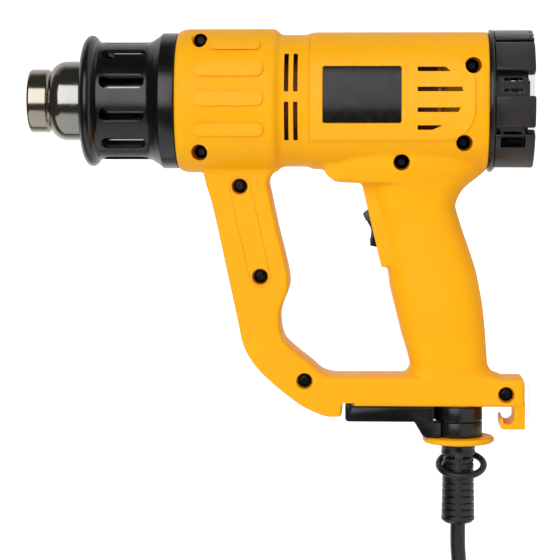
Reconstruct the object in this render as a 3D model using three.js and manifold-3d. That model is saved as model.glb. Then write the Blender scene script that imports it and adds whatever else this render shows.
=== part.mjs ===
// A corded heat gun with a closed D-shaped handle and a fold-out stand, standing on its rear cap.
// Millimetres. +Z runs up the barrel to the nozzle, the handle points to -X, and the left side of the
// tool faces -Y. Heights z are measured from the plane that the cap stands on, and drops are measured
// from the barrel axis down the handle. The origin is under the middle of the tool's box.

import * as THREE from 'three';
import { mergeVertices } from 'three/addons/utils/BufferGeometryUtils.js';
import Module from 'manifold-3d';

const wasm = await Module();
wasm.setup();

// Fits and cutting tools
const gap = 0.3;
const partingGap = 0.3;
const overrun = 30;
const weldDistance = 1e-4;

// Housing: head
const housingRearZ = 22.9;
const waistRearZ = 116;
const waistFrontZ = 128;
const waistSlope = 4;
const housingFrontZ = 181.5;
const rearRadius = 35.9;
const waistRadius = 34.6;
const frontRadius = 37.6;
const shoulderLength = 6.3;
const shoulderDrop = 2.5;
const wall = 2.6;
const frontWall = 3;
const headPower = 2.25;

// Housing: raised side panel, label recess and finger bars
const panelRise = 0.8;
const panelRearZ = 30.5;
const panelFrontZ = 113;
const panelTopX = 22.8;
const panelBottomX = -19.8;
const labelRearZ = 67;
const labelFrontZ = 106.7;
const labelTopX = 17.4;
const labelBottomX = -11.3;
const labelThickness = 0.8;
const barRise = 0.7;
const barRearZ = 136.8;
const barFrontZ = 171.2;
const barWidth = 7.8;
const barPitch = 14.5;
const firstBarX = 16.7;
const barCount = 3;

// Housing: air vents, two pairs of upright slots and four lengthwise ones
const slotWidth = 2.3;
const slotRootShare = 0.6;
const uprightSlotZs = [124.9, 120.3];
const uprightSlotSpans = [[4.6, 23.6], [-19.9, -0.5]];
const ventFrontZ = 59.1;
const ventRows = [[15.8, 44], [5.8, 36.7], [-4.5, 37.8], [-13.4, 46.7]];

// Housing: handle, as shares of the frame's drop, of the neck's front height and of its half width
const frameDrop = 157;
const neckFrontZ = 109.7;
const neckHalfWidth = 24;
const handlePower = 2.6;
const handleShares = [
  [0.096, 1, 0.213, 1], [0.21, 1, 0.213, 1], [0.227, 0.975, 0.215, 0.98], [0.243, 0.953, 0.242, 0.94],
  [0.263, 0.916, 0.28, 0.875], [0.267, 0.771, 0.286, 0.86], [0.287, 0.762, 0.317, 0.817],
  [0.312, 0.751, 0.341, 0.783], [0.344, 0.738, 0.356, 0.75], [0.382, 0.725, 0.339, 0.725],
  [0.42, 0.711, 0.322, 0.708], [0.497, 0.686, 0.283, 0.708], [0.56, 0.67, 0.254, 0.717],
  [0.669, 0.64, 0.224, 0.725],
  [0.828, 0.578, 0.203, 0.675], [0.866, 0.564, 0.199, 0.65], [0.889, 0.579, 0.182, 0.63],
  [0.899, 0.611, 0.138, 0.605], [0.955, 0.611, 0.138, 0.58],
];

// Housing: strut, bar and foot. The two curved edges of the strut are shares of its reach and drop
const strutReach = 168.5;
const frameHalfWidth = 14.5;
const frameEdge = 4.5;
const barTopDrop = 141.2;
const footTopDrop = 142.6;
const footRearZ = 3;
const footFrontZ = 15;
const heelEndZ = 97;
const heelDrop = 162.6;
const strutOuterShares = [
  [1.014, 0.13], [1, 0.2535], [0.978, 0.333], [0.941, 0.5115], [0.901, 0.71], [0.8825, 0.8],
  [0.861, 0.85], [0.824, 0.899], [0.753, 0.9655], [0.697, 1.008], [0.645, 1.033], [0.62, 1.04],
];
const strutInnerShares = [
  [0.604, 0.899], [0.633, 0.883], [0.669, 0.85], [0.744, 0.7835], [0.757, 0.76], [0.764, 0.704],
  [0.756, 0.6675], [0.738, 0.618], [0.735, 0.588], [0.744, 0.532], [0.7715, 0.412], [0.795, 0.293],
  [0.7995, 0.273], [0.793, 0.257], [0.781, 0.238], [0.762, 0.223], [0.744, 0.2], [0.744, 0.13],
];
const legNotchDepth = 1.8;
const legNotchLength = 6.6;

// Housing: hook under the foot's rear edge
const hookDrop = 169.5;
const hookBar = 5.6;
const hookFloor = 3.1;
const hookReach = 12.6;
const hookLip = 2.1;
const hookLipHeight = 6.3;
const hookHalfWidth = 13;

// Housing: cross ribs inside the head
const ribThickness = 1.8;

// Switch and its raised seat on the front of the grip
const switchDrop = 65.4;
const switchZ = 81.6;
const switchLean = THREE.MathUtils.degToRad(-13.3);
const bezelUp = 22;
const bezelDown = 19.5;
const bezelHalfWidth = 11.5;
const bezelDepth = 12;
const bezelWall = 2.6;
const rockerHalfLength = 9.9;
const rockerTipInset = 1.5;
const rockerTipRise = 3.2;
const rockerMiddleRise = 0.5;
const rockerHalfWidth = 7.2;
const rockerRimDepth = 3;
const rockerKeelDepth = 8;
const rockerKeelHalf = 2.6;
const rockerPivotDepth = 2.5;
const rockerEndGap = 0.7;
const switchHalfLength = 12.2;
const switchHalfWidth = 9;
const switchBodyDepth = 19;
const switchPocketDepth = 11;
const bladeReach = 5;
const bladeHalfWidth = 2.4;
const bladeThickness = 0.8;
const bladeSpacing = 5;

// Screws. Each place is its drop below the barrel axis and its height
const screwPlaces = [[-30.5, 169.2], [26.1, 169.2], [43.7, 149.5], [90.1, 139], [143.9, 116.2],
  [-17.7, 31.2], [21.2, 35.4], [31.1, 66.8], [150.5, 12.6]];
const screwSeatY = -10;
const notchScrewSeatY = -12;
const screwHeadRadius = 2.85;
const screwHeadHeight = 2.2;
const screwSocketRadius = 1.3;
const screwSocketDepth = 1.4;
const screwShankRadius = 1.6;
const screwLength = 18;
const screwBottomClearance = 1;
const recessRadius = 4.15;
const notchRadius = 3.65;
const bossWall = 1;
const nutBossRadius = 3.8;

// Rear cap
const capRadius = 36.2;
const capFlangeRadius = 36.5;
const capFlangeHeight = 3.4;
const capDrumRadius = 31.5;
const capBoreRadius = 29.2;
const capRecessZ = 3.6;
const capFloor = 2.4;
const capSpigotRadius = 32.7;
const capSpigotLength = 3.1;
const lobeCount = 7;
const lobeAngle = THREE.MathUtils.degToRad(27);
const lobeEdge = 1.2;
const lobeInnerRadius = 30.3;
const lobeSteps = 3;
const intakeWidth = 1.6;
const intakeLength = 9.5;
const intakeRearZ = 6.6;
const intakeSpread = THREE.MathUtils.degToRad(7.5);
const floorSlotCount = 10;
const floorSlotInner = 15.5;
const floorSlotOuter = 25;
const floorSlotWidth = 2;

// Temperature dial, board and what stands on it
const dialRadius = 12;
const dialProud = 2.4;
const dialGripHeight = 0.7;
const dialGripHalf = 1.6;
const dialFluteCount = 15;
const dialFluteDepth = 0.5;
const dialStemRadius = 3.2;
const potSize = 14;
const potHeight = 5.1;
const boardRadius = 27.5;
const boardThickness = 1.6;
const postRadius = 3;
const postPlaceRadius = 22;
const postCount = 3;
const sinkLength = 20;
const sinkDepth = 12;
const sinkHeight = 10;
const sinkBase = 2.4;
const sinkFins = 4;
const sinkFinThickness = 1.2;
const sinkX = -3;
const sinkY = 14;
const capacitorLength = 18;
const capacitorDepth = 8;
const capacitorHeight = 10.5;
const capacitorX = 2;
const capacitorY = -15;

// Nozzle guard
const guardNeckRadius = 29.9;
const guardNeckWall = 2.2;
const guardHoldRadius = 32.4;
const guardHoldThickness = 2.7;
const guardFlangeRadius = 34.9;
const guardFlangeRound = 0.8;
const guardFlangeTopZ = 190.8;
const guardFlareTopZ = 195.5;
const guardBodyRadius = 30.2;
const guardBodyWall = 2.5;
const guardLipStartZ = 222.6;
const guardLipZ = 227.5;
const guardLipRadius = 34;
const guardFrontZ = 233.5;
const guardLipInner = 29.5;
const guardSlotCount = 11;
const guardSlotRearZ = 199.8;
const guardSlotFrontZ = 223.6;
const guardSlotWidth = 7.7;
const guardSlotCorner = 1.8;
const guardSlotPhase = THREE.MathUtils.degToRad(19.5 - 90);

// Nozzle tube
const tubeRadius = 20.5;
const tubeWall = 0.8;
const tubeFlangeRadius = 24;
const tubeRearZ = 136.3;
const tubeFlangeThickness = 1.6;
const bulbStartZ = 237.6;
const bulbEndZ = 249;
const spigotRadius = 16.4;
const spigotGroove = 0.5;
const spigotGrooveLength = 1.2;
const spigotFrontZ = 259;
const spigotRim = 1.6;

// Heater
const insulatorWall = 1;
const heaterBaseHeight = 5.5;
const heaterBaseRing = 3.4;
const heaterFrontZ = 231;
const heaterHoleRadius = 2.1;
const heaterHolePitch = 6.3;
const heaterRings = 2;

// Duct, fan and motor
const ductRadius = 24.8;
const ductWall = 1.5;
const ductRearZ = 47;
const ductFlangeRadius = 32.5;
const ductFlangeThickness = 2;
const ductConeStartZ = 112;
const ductThroatRadius = 21;
const ductFrontFlange = 2.2;
const fanRadius = 22;
const fanHubRadius = 5.5;
const fanRearZ = 51;
const fanHeight = 12;
const fanDisc = 1.4;
const fanBlades = 7;
const fanBladeThickness = 1.3;
const fanBladeTwist = THREE.MathUtils.degToRad(24);
const fanBladeInner = 9;
const shaftRadius = 1.2;
const shaftRearZ = 49.5;
const shaftFrontZ = 111;
const motorRadius = 14;
const motorRearZ = 70.5;
const motorFrontZ = 107;
const motorBossRadius = 5;
const motorBossHeight = 2;
const mountZ = 74;
const mountHeight = 5;
const mountRing = 2.2;
const mountArms = 3;
const mountArmWidth = 4;

// Cord entry: axis of the stand legs, the hanging ring and the strain relief
const cordAxisZ = 36.5;
const cordRadius = 3.9;
const legHubRadius = 12.4;
const legHubHeight = 7.8;
const legArmReach = 58.8;
const legArmWidth = 9.8;
const legWebReach = 21.5;
const legArmInner = 13.2;
const legNubHeight = 1.2;
const legNubLength = 3.4;
const retainerTubeRadius = 9.4;
const retainerBore = 7;
const retainerDiscRadius = 18.6;
const retainerDiscThickness = 3.4;
const retainerLipRadius = 11.4;
const retainerLipThickness = 2.2;
const boreClearance = 0.4;

// Strain relief
const bootNeckRadius = 6.6;
const bootRadius = 8.4;
const bootFlangeRadius = 10.8;
const bootFlangeThickness = 2.4;
const bootNeckLength = 8.5;
const bootRibCount = 9;
const bootRibPitch = 3.54;
const bootSlot = 0.9;
const bootSlotDepth = 1.2;
const bootEndRound = 2;

// Hanging ring
const collarRadius = 9;
const collarHeight = 6.4;
const loopRadius = 11.6;
const loopSection = 1.8;
const loopTilt = THREE.MathUtils.degToRad(23);
const loopDrop = 12.3;
const loopShift = 0.9;
const strapHalfWidth = 2;
const strapThickness = 2;

// Cord clamp, terminal block and leads in the grip
const clampClearance = 9.8;
const clampWidth = 8;
const clampThickness = 2.2;
const clampPostSpacing = 6.6;
const clampEnd = 2.4;
const clampPostRadius = 2.2;
const clampScrewLength = 10;
const clampHeadRadius = 2.1;
const clampHeadHeight = 1.6;
const clampShankRadius = 1.3;
const saddleHalfLength = 2;
const saddleHalfWidth = 3.5;
const jacketLength = 14;
const cordRibClearance = 1.7;
const cordRibThickness = 2;
const cordRibHalf = 12.5;
const terminalClearance = 8;
const terminalLength = 12;
const terminalWidth = 10;
const terminalZ = 46;
const terminalInnerY = 4;
const terminalOuterY = 13.2;

// Free cord: its route from the strain relief, and the coil on the floor that it runs into
const coilInnerRadius = 30.6;
const coilPitch = 8.6;
const coilLayerHeight = 8.3;
const coilLayers = 4;
const coilLayerTurns = 2.29;
const coilLift = 1.1;
const coilBlendShare = 0.25;
const coilStartAngle = THREE.MathUtils.degToRad(-45);
const coilStepsPerTurn = 20;
const headingStep = 0.001;
const coilSides = 6;
const cordSides = 8;
const cordStep = 8;
const leadRoute = [
  [0, 0, 0], [-7, 0, 0], [-14, 0, -0.2], [-24, -0.8, -1.4], [-34, -3.2, -5], [-43, -7.2, -10.6],
  [-51, -12.4, -16.8], [-58.5, -19, -22.9], [-65, -25.6, -27.7], [-71, -31.7, -30.6], [-76.7, -37.4, -31.5],
  [-78.8, -39.5, -31.5],
];
const tailShares = [[0.02, 0], [0.09, 0.05], [0.18, 0.2], [0.29, 0.42], [0.41, 0.66], [0.53, 0.85],
  [0.65, 0.95], [0.77, 0.99], [0.88, 1], [0.98, 1], [1, 1]];
const tailBend = 33;
const tailTurned = THREE.MathUtils.degToRad(130);

// Coil tie
const tieWidth = 9;
const tieThickness = 0.8;
const tieSlack = 0.5;
const tieAngle = THREE.MathUtils.degToRad(25);

// Plug
const plugHalfWidth = 17.5;
const plugThickness = 17;
const plugLength = 37;
const plugNeckHalf = 7;
const plugEdge = 3;
const plugShoulderShare = 0.45;
const pinRadius = 2.4;
const pinLength = 19;
const pinSpacing = 19;
const pinInside = 6;

// Facets
const headSides = 24;
const innerSides = 18;
const handleSides = 16;
const handleInnerSides = 12;
const guardSides = 22;
const tubeSides = 20;
const ringSides = 20;
const smallSides = 12;
const screwSides = 8;

// Sizes that follow from the ones above
const beyondHead = frontRadius + overrun;
const capWallTopZ = capRecessZ + capFloor;
const boardZ = capWallTopZ + potHeight + 2 * gap + gap;
const tubeFlangeFrontZ = tubeRearZ + tubeFlangeThickness;
const barFloorDrop = frameDrop - wall;
const upperHubTop = frameDrop + 2 * gap;
const upperHubBottom = upperHubTop + legHubHeight;
const lowerHubTop = upperHubBottom + gap;
const lowerHubBottom = lowerHubTop + legHubHeight;
const discTop = lowerHubBottom + gap;
const discBottom = discTop + retainerDiscThickness;
const retainerLipBottom = barFloorDrop - gap;
const retainerLipTop = retainerLipBottom - retainerLipThickness;
const bootFlangeBottom = retainerLipTop - gap;
const cordRibDrop = bootFlangeBottom - bootFlangeThickness - cordRibClearance + gap;
const clampDrop = cordRibDrop - cordRibThickness - clampClearance - clampWidth / 2;
const jacketEndDrop = clampDrop - jacketLength;
const terminalDrop = jacketEndDrop - terminalClearance - terminalLength / 2;
const bootShoulder = discBottom + bootNeckLength;
const bootRibbedLength = bootRibCount * bootRibPitch;
const bootEndDrop = bootShoulder + bootRibbedLength + bootEndRound;
const coilTurns = coilLayers * coilLayerTurns;
const coilOuterRadius = coilInnerRadius + coilPitch * coilLayerTurns;
const coilLayerZ = coilLift + cordRadius;
const coilTopZ = coilLayerZ + coilLayerHeight * (coilLayers - 1) + cordRadius;

// Colours
const yellow = new THREE.MeshStandardMaterial({ color: 0xf7b01c, roughness: 0.5 });
const blackPlastic = new THREE.MeshStandardMaterial({ color: 0x232427, roughness: 0.45 });
const steel = new THREE.MeshStandardMaterial({ color: 0xb5aca0, roughness: 0.25, metalness: 1 });
const rubber = new THREE.MeshStandardMaterial({ color: 0x18181a, roughness: 0.6 });
const labelBlack = new THREE.MeshStandardMaterial({ color: 0x1b1b1d, roughness: 0.3 });
const darkSteel = new THREE.MeshStandardMaterial({ color: 0x2a2a2c, roughness: 0.4, metalness: 1 });
const mica = new THREE.MeshStandardMaterial({ color: 0xc9b48a, roughness: 0.6 });
const ceramic = new THREE.MeshStandardMaterial({ color: 0xe4ddcf, roughness: 0.8 });
const boardGreen = new THREE.MeshStandardMaterial({ color: 0x2f6b3c, roughness: 0.6 });
const aluminium = new THREE.MeshStandardMaterial({ color: 0xc4c7c9, roughness: 0.4, metalness: 1 });
const brass = new THREE.MeshStandardMaterial({ color: 0xc8a95a, roughness: 0.35, metalness: 1 });
const leadBlue = new THREE.MeshStandardMaterial({ color: 0x2f5fa8, roughness: 0.6 });

// A closed mesh with shared vertices, no slivers at its poles, and its faces pointing out
function closed(geometry) {
  const bare = new THREE.BufferGeometry();
  bare.setAttribute('position', geometry.getAttribute('position'));
  if (geometry.index) bare.setIndex(geometry.index);
  const merged = mergeVertices(bare, weldDistance);
  const index = merged.index.array;
  const points = merged.getAttribute('position');
  const [a, b, c] = [new THREE.Vector3(), new THREE.Vector3(), new THREE.Vector3()];
  const kept = [];
  let volume = 0;
  for (let i = 0; i < index.length; i += 3) {
    const corners = [index[i], index[i + 1], index[i + 2]];
    if (new Set(corners).size === corners.length) {
      kept.push(...corners);
      [a, b, c].forEach((point, k) => point.fromBufferAttribute(points, corners[k]));
      volume += a.dot(b.cross(c));
    }
  }
  if (volume < 0) kept.reverse();
  merged.setIndex(kept);
  return merged;
}

function solidOf(geometry) {
  const mesh = closed(geometry);
  return new wasm.Manifold(new wasm.Mesh({
    numProp: 3,
    vertProperties: Float32Array.from(mesh.getAttribute('position').array),
    triVerts: Uint32Array.from(mesh.index.array),
  }));
}

function geometryOf(solid) {
  const { vertProperties, triVerts } = solid.getMesh();
  const geometry = new THREE.BufferGeometry();
  geometry.setAttribute('position', new THREE.BufferAttribute(vertProperties, 3));
  geometry.setIndex(new THREE.BufferAttribute(triVerts, 1));
  return geometry;
}

function joined(...solids) {
  return solids.flat().reduce((whole, piece) => whole.add(piece));
}

function cutBy(solid, ...tools) {
  return tools.flat().reduce((left, tool) => left.subtract(tool), solid);
}

// Solids between two corners, and round bars along an axis through a place given by its other two
// coordinates, in the order x, y, z
function block(x0, x1, y0, y1, z0, z1) {
  const box = new THREE.BoxGeometry(x1 - x0, y1 - y0, z1 - z0);
  return solidOf(box.translate((x0 + x1) / 2, (y0 + y1) / 2, (z0 + z1) / 2));
}

function rodAlongX(radius, x0, x1, y, z, sides = ringSides) {
  const rod = new THREE.CylinderGeometry(radius, radius, x1 - x0, sides);
  return solidOf(rod.rotateZ(Math.PI / 2).translate((x0 + x1) / 2, y, z));
}

function rodAlongY(radius, y0, y1, x, z, sides = smallSides) {
  const rod = new THREE.CylinderGeometry(radius, radius, y1 - y0, sides);
  return solidOf(rod.translate(x, (y0 + y1) / 2, z));
}

function rodAlongZ(radius, z0, z1, x = 0, y = 0, sides = smallSides) {
  const rod = new THREE.CylinderGeometry(radius, radius, z1 - z0, sides);
  return solidOf(rod.rotateX(Math.PI / 2).translate(x, y, (z0 + z1) / 2));
}

// A profile of radius and height pairs turned about the barrel axis
function turned(profile, sides) {
  const points = profile.map(([radius, height]) => new THREE.Vector2(radius, height));
  return new THREE.LatheGeometry(points, sides).rotateX(Math.PI / 2);
}

// A profile of radius and drop pairs turned about the cord axis, which runs down the handle
function turnedAboutCord(profile, sides) {
  const points = profile.map(([radius, drop]) => new THREE.Vector2(radius, -drop));
  return new THREE.LatheGeometry(points, sides).rotateZ(-Math.PI / 2).translate(0, 0, cordAxisZ);
}

// A ring wall: radius and height pairs up the outside, then back down a straight bore
function bored(outside, bore) {
  const first = outside[0][1];
  const last = outside[outside.length - 1][1];
  return [[bore, first], ...outside, [bore, last], [bore, first]];
}

function arc(centreR, centreZ, radiusR, radiusZ, from, to, steps) {
  return Array.from({ length: steps + 1 }, (_, i) => {
    const angle = from + (to - from) * i / steps;
    return [centreR + radiusR * Math.cos(angle), centreZ + radiusZ * Math.sin(angle)];
  });
}

// A closed skin over rings of points, each ring with the same number of points
function lofted(rings) {
  const count = rings[0].length;
  const points = rings.flat();
  const faces = [];
  for (let r = 0; r + 1 < rings.length; r += 1) {
    for (let i = 0; i < count; i += 1) {
      const a = r * count + i;
      const b = r * count + (i + 1) % count;
      faces.push(a, b, b + count, a, b + count, a + count);
    }
  }
  [0, rings.length - 1].forEach((r) => {
    const middle = new THREE.Vector3();
    rings[r].forEach((point) => middle.addScaledVector(point, 1 / count));
    points.push(middle);
    for (let i = 0; i < count; i += 1) {
      const a = r * count + i;
      const b = r * count + (i + 1) % count;
      if (r === 0) faces.push(points.length - 1, b, a);
      else faces.push(points.length - 1, a, b);
    }
  });
  const geometry = new THREE.BufferGeometry().setFromPoints(points);
  geometry.setIndex(faces);
  return geometry;
}

// One point of an oval whose sides are flatter than an ellipse's
function ovalPoint(turn, halfA, halfB, power) {
  const bend = (value) => Math.sign(value) * Math.abs(value) ** (2 / power);
  return [halfA * bend(Math.cos(turn)), halfB * bend(Math.sin(turn))];
}

// A flat outline of height and drop pairs, given a thickness across the tool and a rounded edge
function acrossTool(outline, halfWidth, edge, inset = 0) {
  const shape = new THREE.Shape(outline.map(([z, drop]) => new THREE.Vector2(z, -drop)));
  const geometry = new THREE.ExtrudeGeometry(shape, {
    depth: 2 * (halfWidth - inset - edge),
    bevelEnabled: edge > 0,
    bevelThickness: edge,
    bevelSize: edge,
    bevelOffset: -inset - edge,
    bevelSegments: 2,
  });
  geometry.translate(0, 0, inset + edge - halfWidth);
  const turn = new THREE.Matrix4().makeBasis(
    new THREE.Vector3(0, 0, 1), new THREE.Vector3(1, 0, 0), new THREE.Vector3(0, 1, 0));
  return solidOf(geometry.applyMatrix4(turn));
}

// Head of the housing, or the same form drawn in by an inset
function headSolid(inset) {
  const hollow = inset > 0;
  const rear = hollow ? housingRearZ - overrun : housingRearZ;
  const front = hollow ? housingFrontZ - frontWall : housingFrontZ;
  const shoulder = Math.min(front, housingFrontZ - shoulderLength / 3);
  const stations = [
    [rear, rearRadius], [waistRearZ - waistSlope, rearRadius], [waistRearZ, waistRadius],
    [waistFrontZ, waistRadius], [waistFrontZ + waistSlope, frontRadius],
    [housingFrontZ - shoulderLength, frontRadius], [shoulder, frontRadius - shoulderDrop / 3],
  ];
  if (!hollow) stations.push([front, frontRadius - shoulderDrop]);
  const sides = hollow ? innerSides : headSides;
  const rings = stations.map(([z, radius]) => Array.from({ length: sides }, (_, i) => {
    const [x, y] = ovalPoint(2 * Math.PI * i / sides, radius - inset, radius - inset, headPower);
    return new THREE.Vector3(x, y, z);
  }));
  return solidOf(lofted(rings));
}

// Neck and grip. The hollow inside stays behind the neck's bulge and the front of the grip
function handleSolid(inset) {
  const gripFront = handleShares[5][1];
  const hollow = inset > 0;
  const sides = hollow ? handleInnerSides : handleSides;
  const stations = hollow ? handleShares.filter((_, i) => i % 2 === 0) : handleShares;
  const rings = stations.map(([down, frontShare, backShare, halfShare]) => {
    const front = (hollow ? Math.min(frontShare, gripFront) : frontShare) * neckFrontZ - inset;
    const back = backShare * neckFrontZ + inset;
    const half = halfShare * neckHalfWidth - inset;
    return Array.from({ length: sides }, (_, i) => {
      const [z, y] = ovalPoint(2 * Math.PI * i / sides, (front - back) / 2, half, handlePower);
      return new THREE.Vector3(-down * frameDrop, y, (front + back) / 2 + z);
    });
  });
  return solidOf(lofted(rings));
}

function frameOutline() {
  const outer = strutOuterShares.map(([z, drop]) => [z * strutReach, drop * frameDrop]);
  const inner = strutInnerShares.map(([z, drop]) => [z * strutReach, drop * frameDrop]);
  return [
    ...outer, [heelEndZ, heelDrop], [heelEndZ, frameDrop], [footRearZ, frameDrop],
    [footRearZ, footTopDrop], [footFrontZ, footTopDrop], [footFrontZ + frameEdge, barTopDrop], ...inner,
  ];
}

function frameSolid(inset) {
  const edge = Math.max(frameEdge - inset, frameEdge / 3);
  return acrossTool(frameOutline(), frameHalfWidth, edge, inset);
}

function hookSolid() {
  const inner = footRearZ + hookBar;
  const lipFront = footRearZ + hookReach;
  const root = frameDrop - wall;
  return acrossTool([
    [footRearZ, root], [footRearZ, hookDrop], [lipFront, hookDrop],
    [lipFront, hookDrop - hookLipHeight], [lipFront - hookLip, hookDrop - hookLipHeight],
    [lipFront - hookLip, hookDrop - hookFloor], [inner, hookDrop - hookFloor], [inner, root],
  ], hookHalfWidth, 0);
}

// A patch of the head's skin between two heights and two levels, raised by some distance
function raisedPatch(rise, x0, x1, z0, z1, side) {
  const reach = side < 0 ? [-beyondHead, 0] : [0, beyondHead];
  return headSolid(-rise).intersect(block(x0, x1, ...reach, z0, z1));
}

function sidePatches(side) {
  const bars = Array.from({ length: barCount }, (_, i) => {
    const middle = firstBarX - i * barPitch;
    return raisedPatch(barRise, middle - barWidth / 2, middle + barWidth / 2, barRearZ, barFrontZ, side);
  });
  return [raisedPatch(panelRise, panelBottomX, panelTopX, panelRearZ, panelFrontZ, side), ...bars];
}

function labelRecess() {
  return block(labelBottomX, labelTopX, -beyondHead, beyondHead, labelRearZ, labelFrontZ)
    .subtract(headSolid(labelThickness + gap - panelRise));
}

function ventCuts() {
  const upright = uprightSlotZs.flatMap((z) => uprightSlotSpans.map(([bottom, top]) => (
    (y0, y1) => block(bottom, top, y0, y1, z - slotWidth / 2, z + slotWidth / 2))));
  const lengthwise = ventRows.map(([x, rear]) => (
    (y0, y1) => block(x - slotWidth / 2, x + slotWidth / 2, y0, y1, rear, ventFrontZ)));
  return [...upright, ...lengthwise].flatMap((slot) => [
    slot(-beyondHead, -slotRootShare * frontRadius), slot(slotRootShare * frontRadius, beyondHead)]);
}

// Rings across the inside of the head: they hold the cap, the duct, the nozzle's flange and its tube
function headRibs() {
  const spans = [
    [ductRearZ + ductFlangeThickness + gap, ribThickness, ductRadius + gap],
    [tubeRearZ - ductFrontFlange - 2 * gap - ribThickness, ribThickness, ductRadius],
    [tubeFlangeFrontZ + gap, ribThickness, tubeRadius + gap],
  ];
  return spans.map(([z, thickness, hole]) => headSolid(wall / 2)
    .intersect(block(-beyondHead, beyondHead, -beyondHead,
      beyondHead, z, z + thickness))
    .subtract(rodAlongZ(hole, z - overrun, z + overrun, 0, 0, tubeSides)));
}

// A solid in the switch's own frame: its x runs up the grip and its z out of the grip
function atSwitch(solid) {
  const turn = new THREE.Matrix4().makeRotationY(switchLean);
  turn.setPosition(-switchDrop, 0, switchZ);
  return solid.transform(turn.elements);
}

function bezelSolid() {
  return atSwitch(block(-bezelDown, bezelUp, -bezelHalfWidth, bezelHalfWidth, -bezelDepth, 0));
}

function switchCuts() {
  const halfLength = rockerHalfLength + rockerEndGap;
  const halfWidth = rockerHalfWidth + gap;
  const window = block(-halfLength, halfLength, -halfWidth, halfWidth, -bezelDepth, overrun);
  const pocketLength = switchHalfLength + gap;
  const pocketWidth = switchHalfWidth + gap;
  const pocket = block(-pocketLength, pocketLength, -pocketWidth, pocketWidth,
    -switchBodyDepth - gap - bladeReach, -bezelWall);
  return [window, pocket].map(atSwitch);
}

function screwSeat(index) {
  return index === 0 ? notchScrewSeatY : screwSeatY;
}

function screwBosses(side) {
  return screwPlaces.map(([drop, z]) => (side < 0
    ? rodAlongY(recessRadius + bossWall, -beyondHead, -partingGap / 2, -drop, z, screwSides)
    : rodAlongY(nutBossRadius, partingGap / 2, beyondHead, -drop, z, screwSides)));
}

function screwCuts(side) {
  const bore = screwShankRadius + gap;
  return screwPlaces.flatMap(([drop, z], index) => {
    const seat = screwSeat(index);
    const tip = seat + screwLength - gap;
    const shank = rodAlongY(bore, -frontRadius, tip + screwBottomClearance, -drop, z, screwSides);
    if (side > 0) return [shank];
    if (index > 0) return [shank, rodAlongY(recessRadius, -beyondHead, seat, -drop, z)];
    return [
      shank, rodAlongY(notchRadius, -beyondHead, seat, -drop, z),
      block(-drop, -drop + overrun, -beyondHead, seat, z - notchRadius, z + notchRadius),
    ];
  });
}

// Seats in the foot: the hole for the retainer, the pocket for its lip, and the rib over the boot
function footCuts() {
  return [
    rodAlongX(retainerTubeRadius + gap, -frameDrop - overrun, -barFloorDrop + overrun / 2, 0, cordAxisZ),
    rodAlongX(retainerLipRadius + boreClearance, -barFloorDrop, -cordRibDrop - gap, 0, cordAxisZ),
    block(-frameDrop - overrun, legNotchDepth - frameDrop, -overrun, overrun,
      heelEndZ - legNotchLength, heelEndZ),
  ];
}

function cordRib() {
  return block(-cordRibDrop, cordRibThickness - cordRibDrop, -frameHalfWidth, frameHalfWidth,
    cordAxisZ - cordRibHalf, cordAxisZ + cordRibHalf)
    .intersect(joined(frameSolid(wall / 2), handleSolid(wall / 2)))
    .subtract(rodAlongX(cordRadius + gap, -frameDrop, 0, 0, cordAxisZ, smallSides));
}

function clampPosts() {
  const wallY = neckHalfWidth;
  const inner = handleSolid(wall / 2);
  const posts = [-1, 1].map((end) => (
    rodAlongY(clampPostRadius, -cordRadius, wallY, -clampDrop, cordAxisZ + end * clampPostSpacing)
      .subtract(rodAlongY(clampShankRadius + gap, -overrun, clampScrewLength, -clampDrop,
        cordAxisZ + end * clampPostSpacing, screwSides))));
  const saddle = block(-clampDrop - saddleHalfLength, -clampDrop + saddleHalfLength,
    cordRadius + gap, wallY, cordAxisZ - saddleHalfWidth, cordAxisZ + saddleHalfWidth);
  return [...posts, saddle].map((piece) => piece.intersect(inner));
}

const housingOuter = joined(headSolid(0), handleSolid(0), frameSolid(0), hookSolid(), bezelSolid());
const housingMiddle = joined(headSolid(wall / 2), handleSolid(wall / 2), frameSolid(wall / 2));
const housingInner = joined(headSolid(wall), handleSolid(wall), frameSolid(wall));

function shellSolid(side) {
  const outside = joined(housingOuter, sidePatches(side));
  const inward = side < 0 ? [-beyondHead, -partingGap / 2] : [partingGap / 2, beyondHead];
  const half = block(-hookDrop - overrun, beyondHead, ...inward, -overrun,
    housingFrontZ + overrun);
  const hollow = outside.subtract(housingInner.subtract(bezelSolid()));
  const filled = joined(hollow, screwBosses(side).map((boss) => boss.intersect(housingMiddle)),
    headRibs(), cordRib());
  const frontHole = rodAlongZ(guardNeckRadius + gap, housingFrontZ - frontWall - gap,
    housingFrontZ + overrun, 0, 0, headSides);
  const cut = cutBy(filled, frontHole, labelRecess(), ventCuts(), switchCuts(), screwCuts(side), footCuts());
  const shell = cut.intersect(half);
  return side < 0 ? shell : joined(shell, clampPosts());
}

function labelPlate(side) {
  const reach = side < 0 ? [-beyondHead, 0] : [0, beyondHead];
  const window = block(labelBottomX + gap, labelTopX - gap, ...reach, labelRearZ + gap, labelFrontZ - gap);
  return headSolid(-panelRise).subtract(headSolid(labelThickness - panelRise)).intersect(window);
}

// Rear cap: a drum with a flange and a spigot, standing on lobes
function capBody() {
  const flangeRearZ = housingRearZ - gap - capFlangeHeight;
  const spigotZ = housingRearZ - gap;
  return solidOf(turned([
    [0, capRecessZ], [capDrumRadius, capRecessZ], [capDrumRadius, flangeRearZ],
    [capFlangeRadius, flangeRearZ], [capFlangeRadius, spigotZ], [capSpigotRadius, spigotZ],
    [capSpigotRadius, spigotZ + capSpigotLength], [capBoreRadius, spigotZ + capSpigotLength],
    [capBoreRadius, capWallTopZ], [0, capWallTopZ],
  ], headSides));
}

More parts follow.
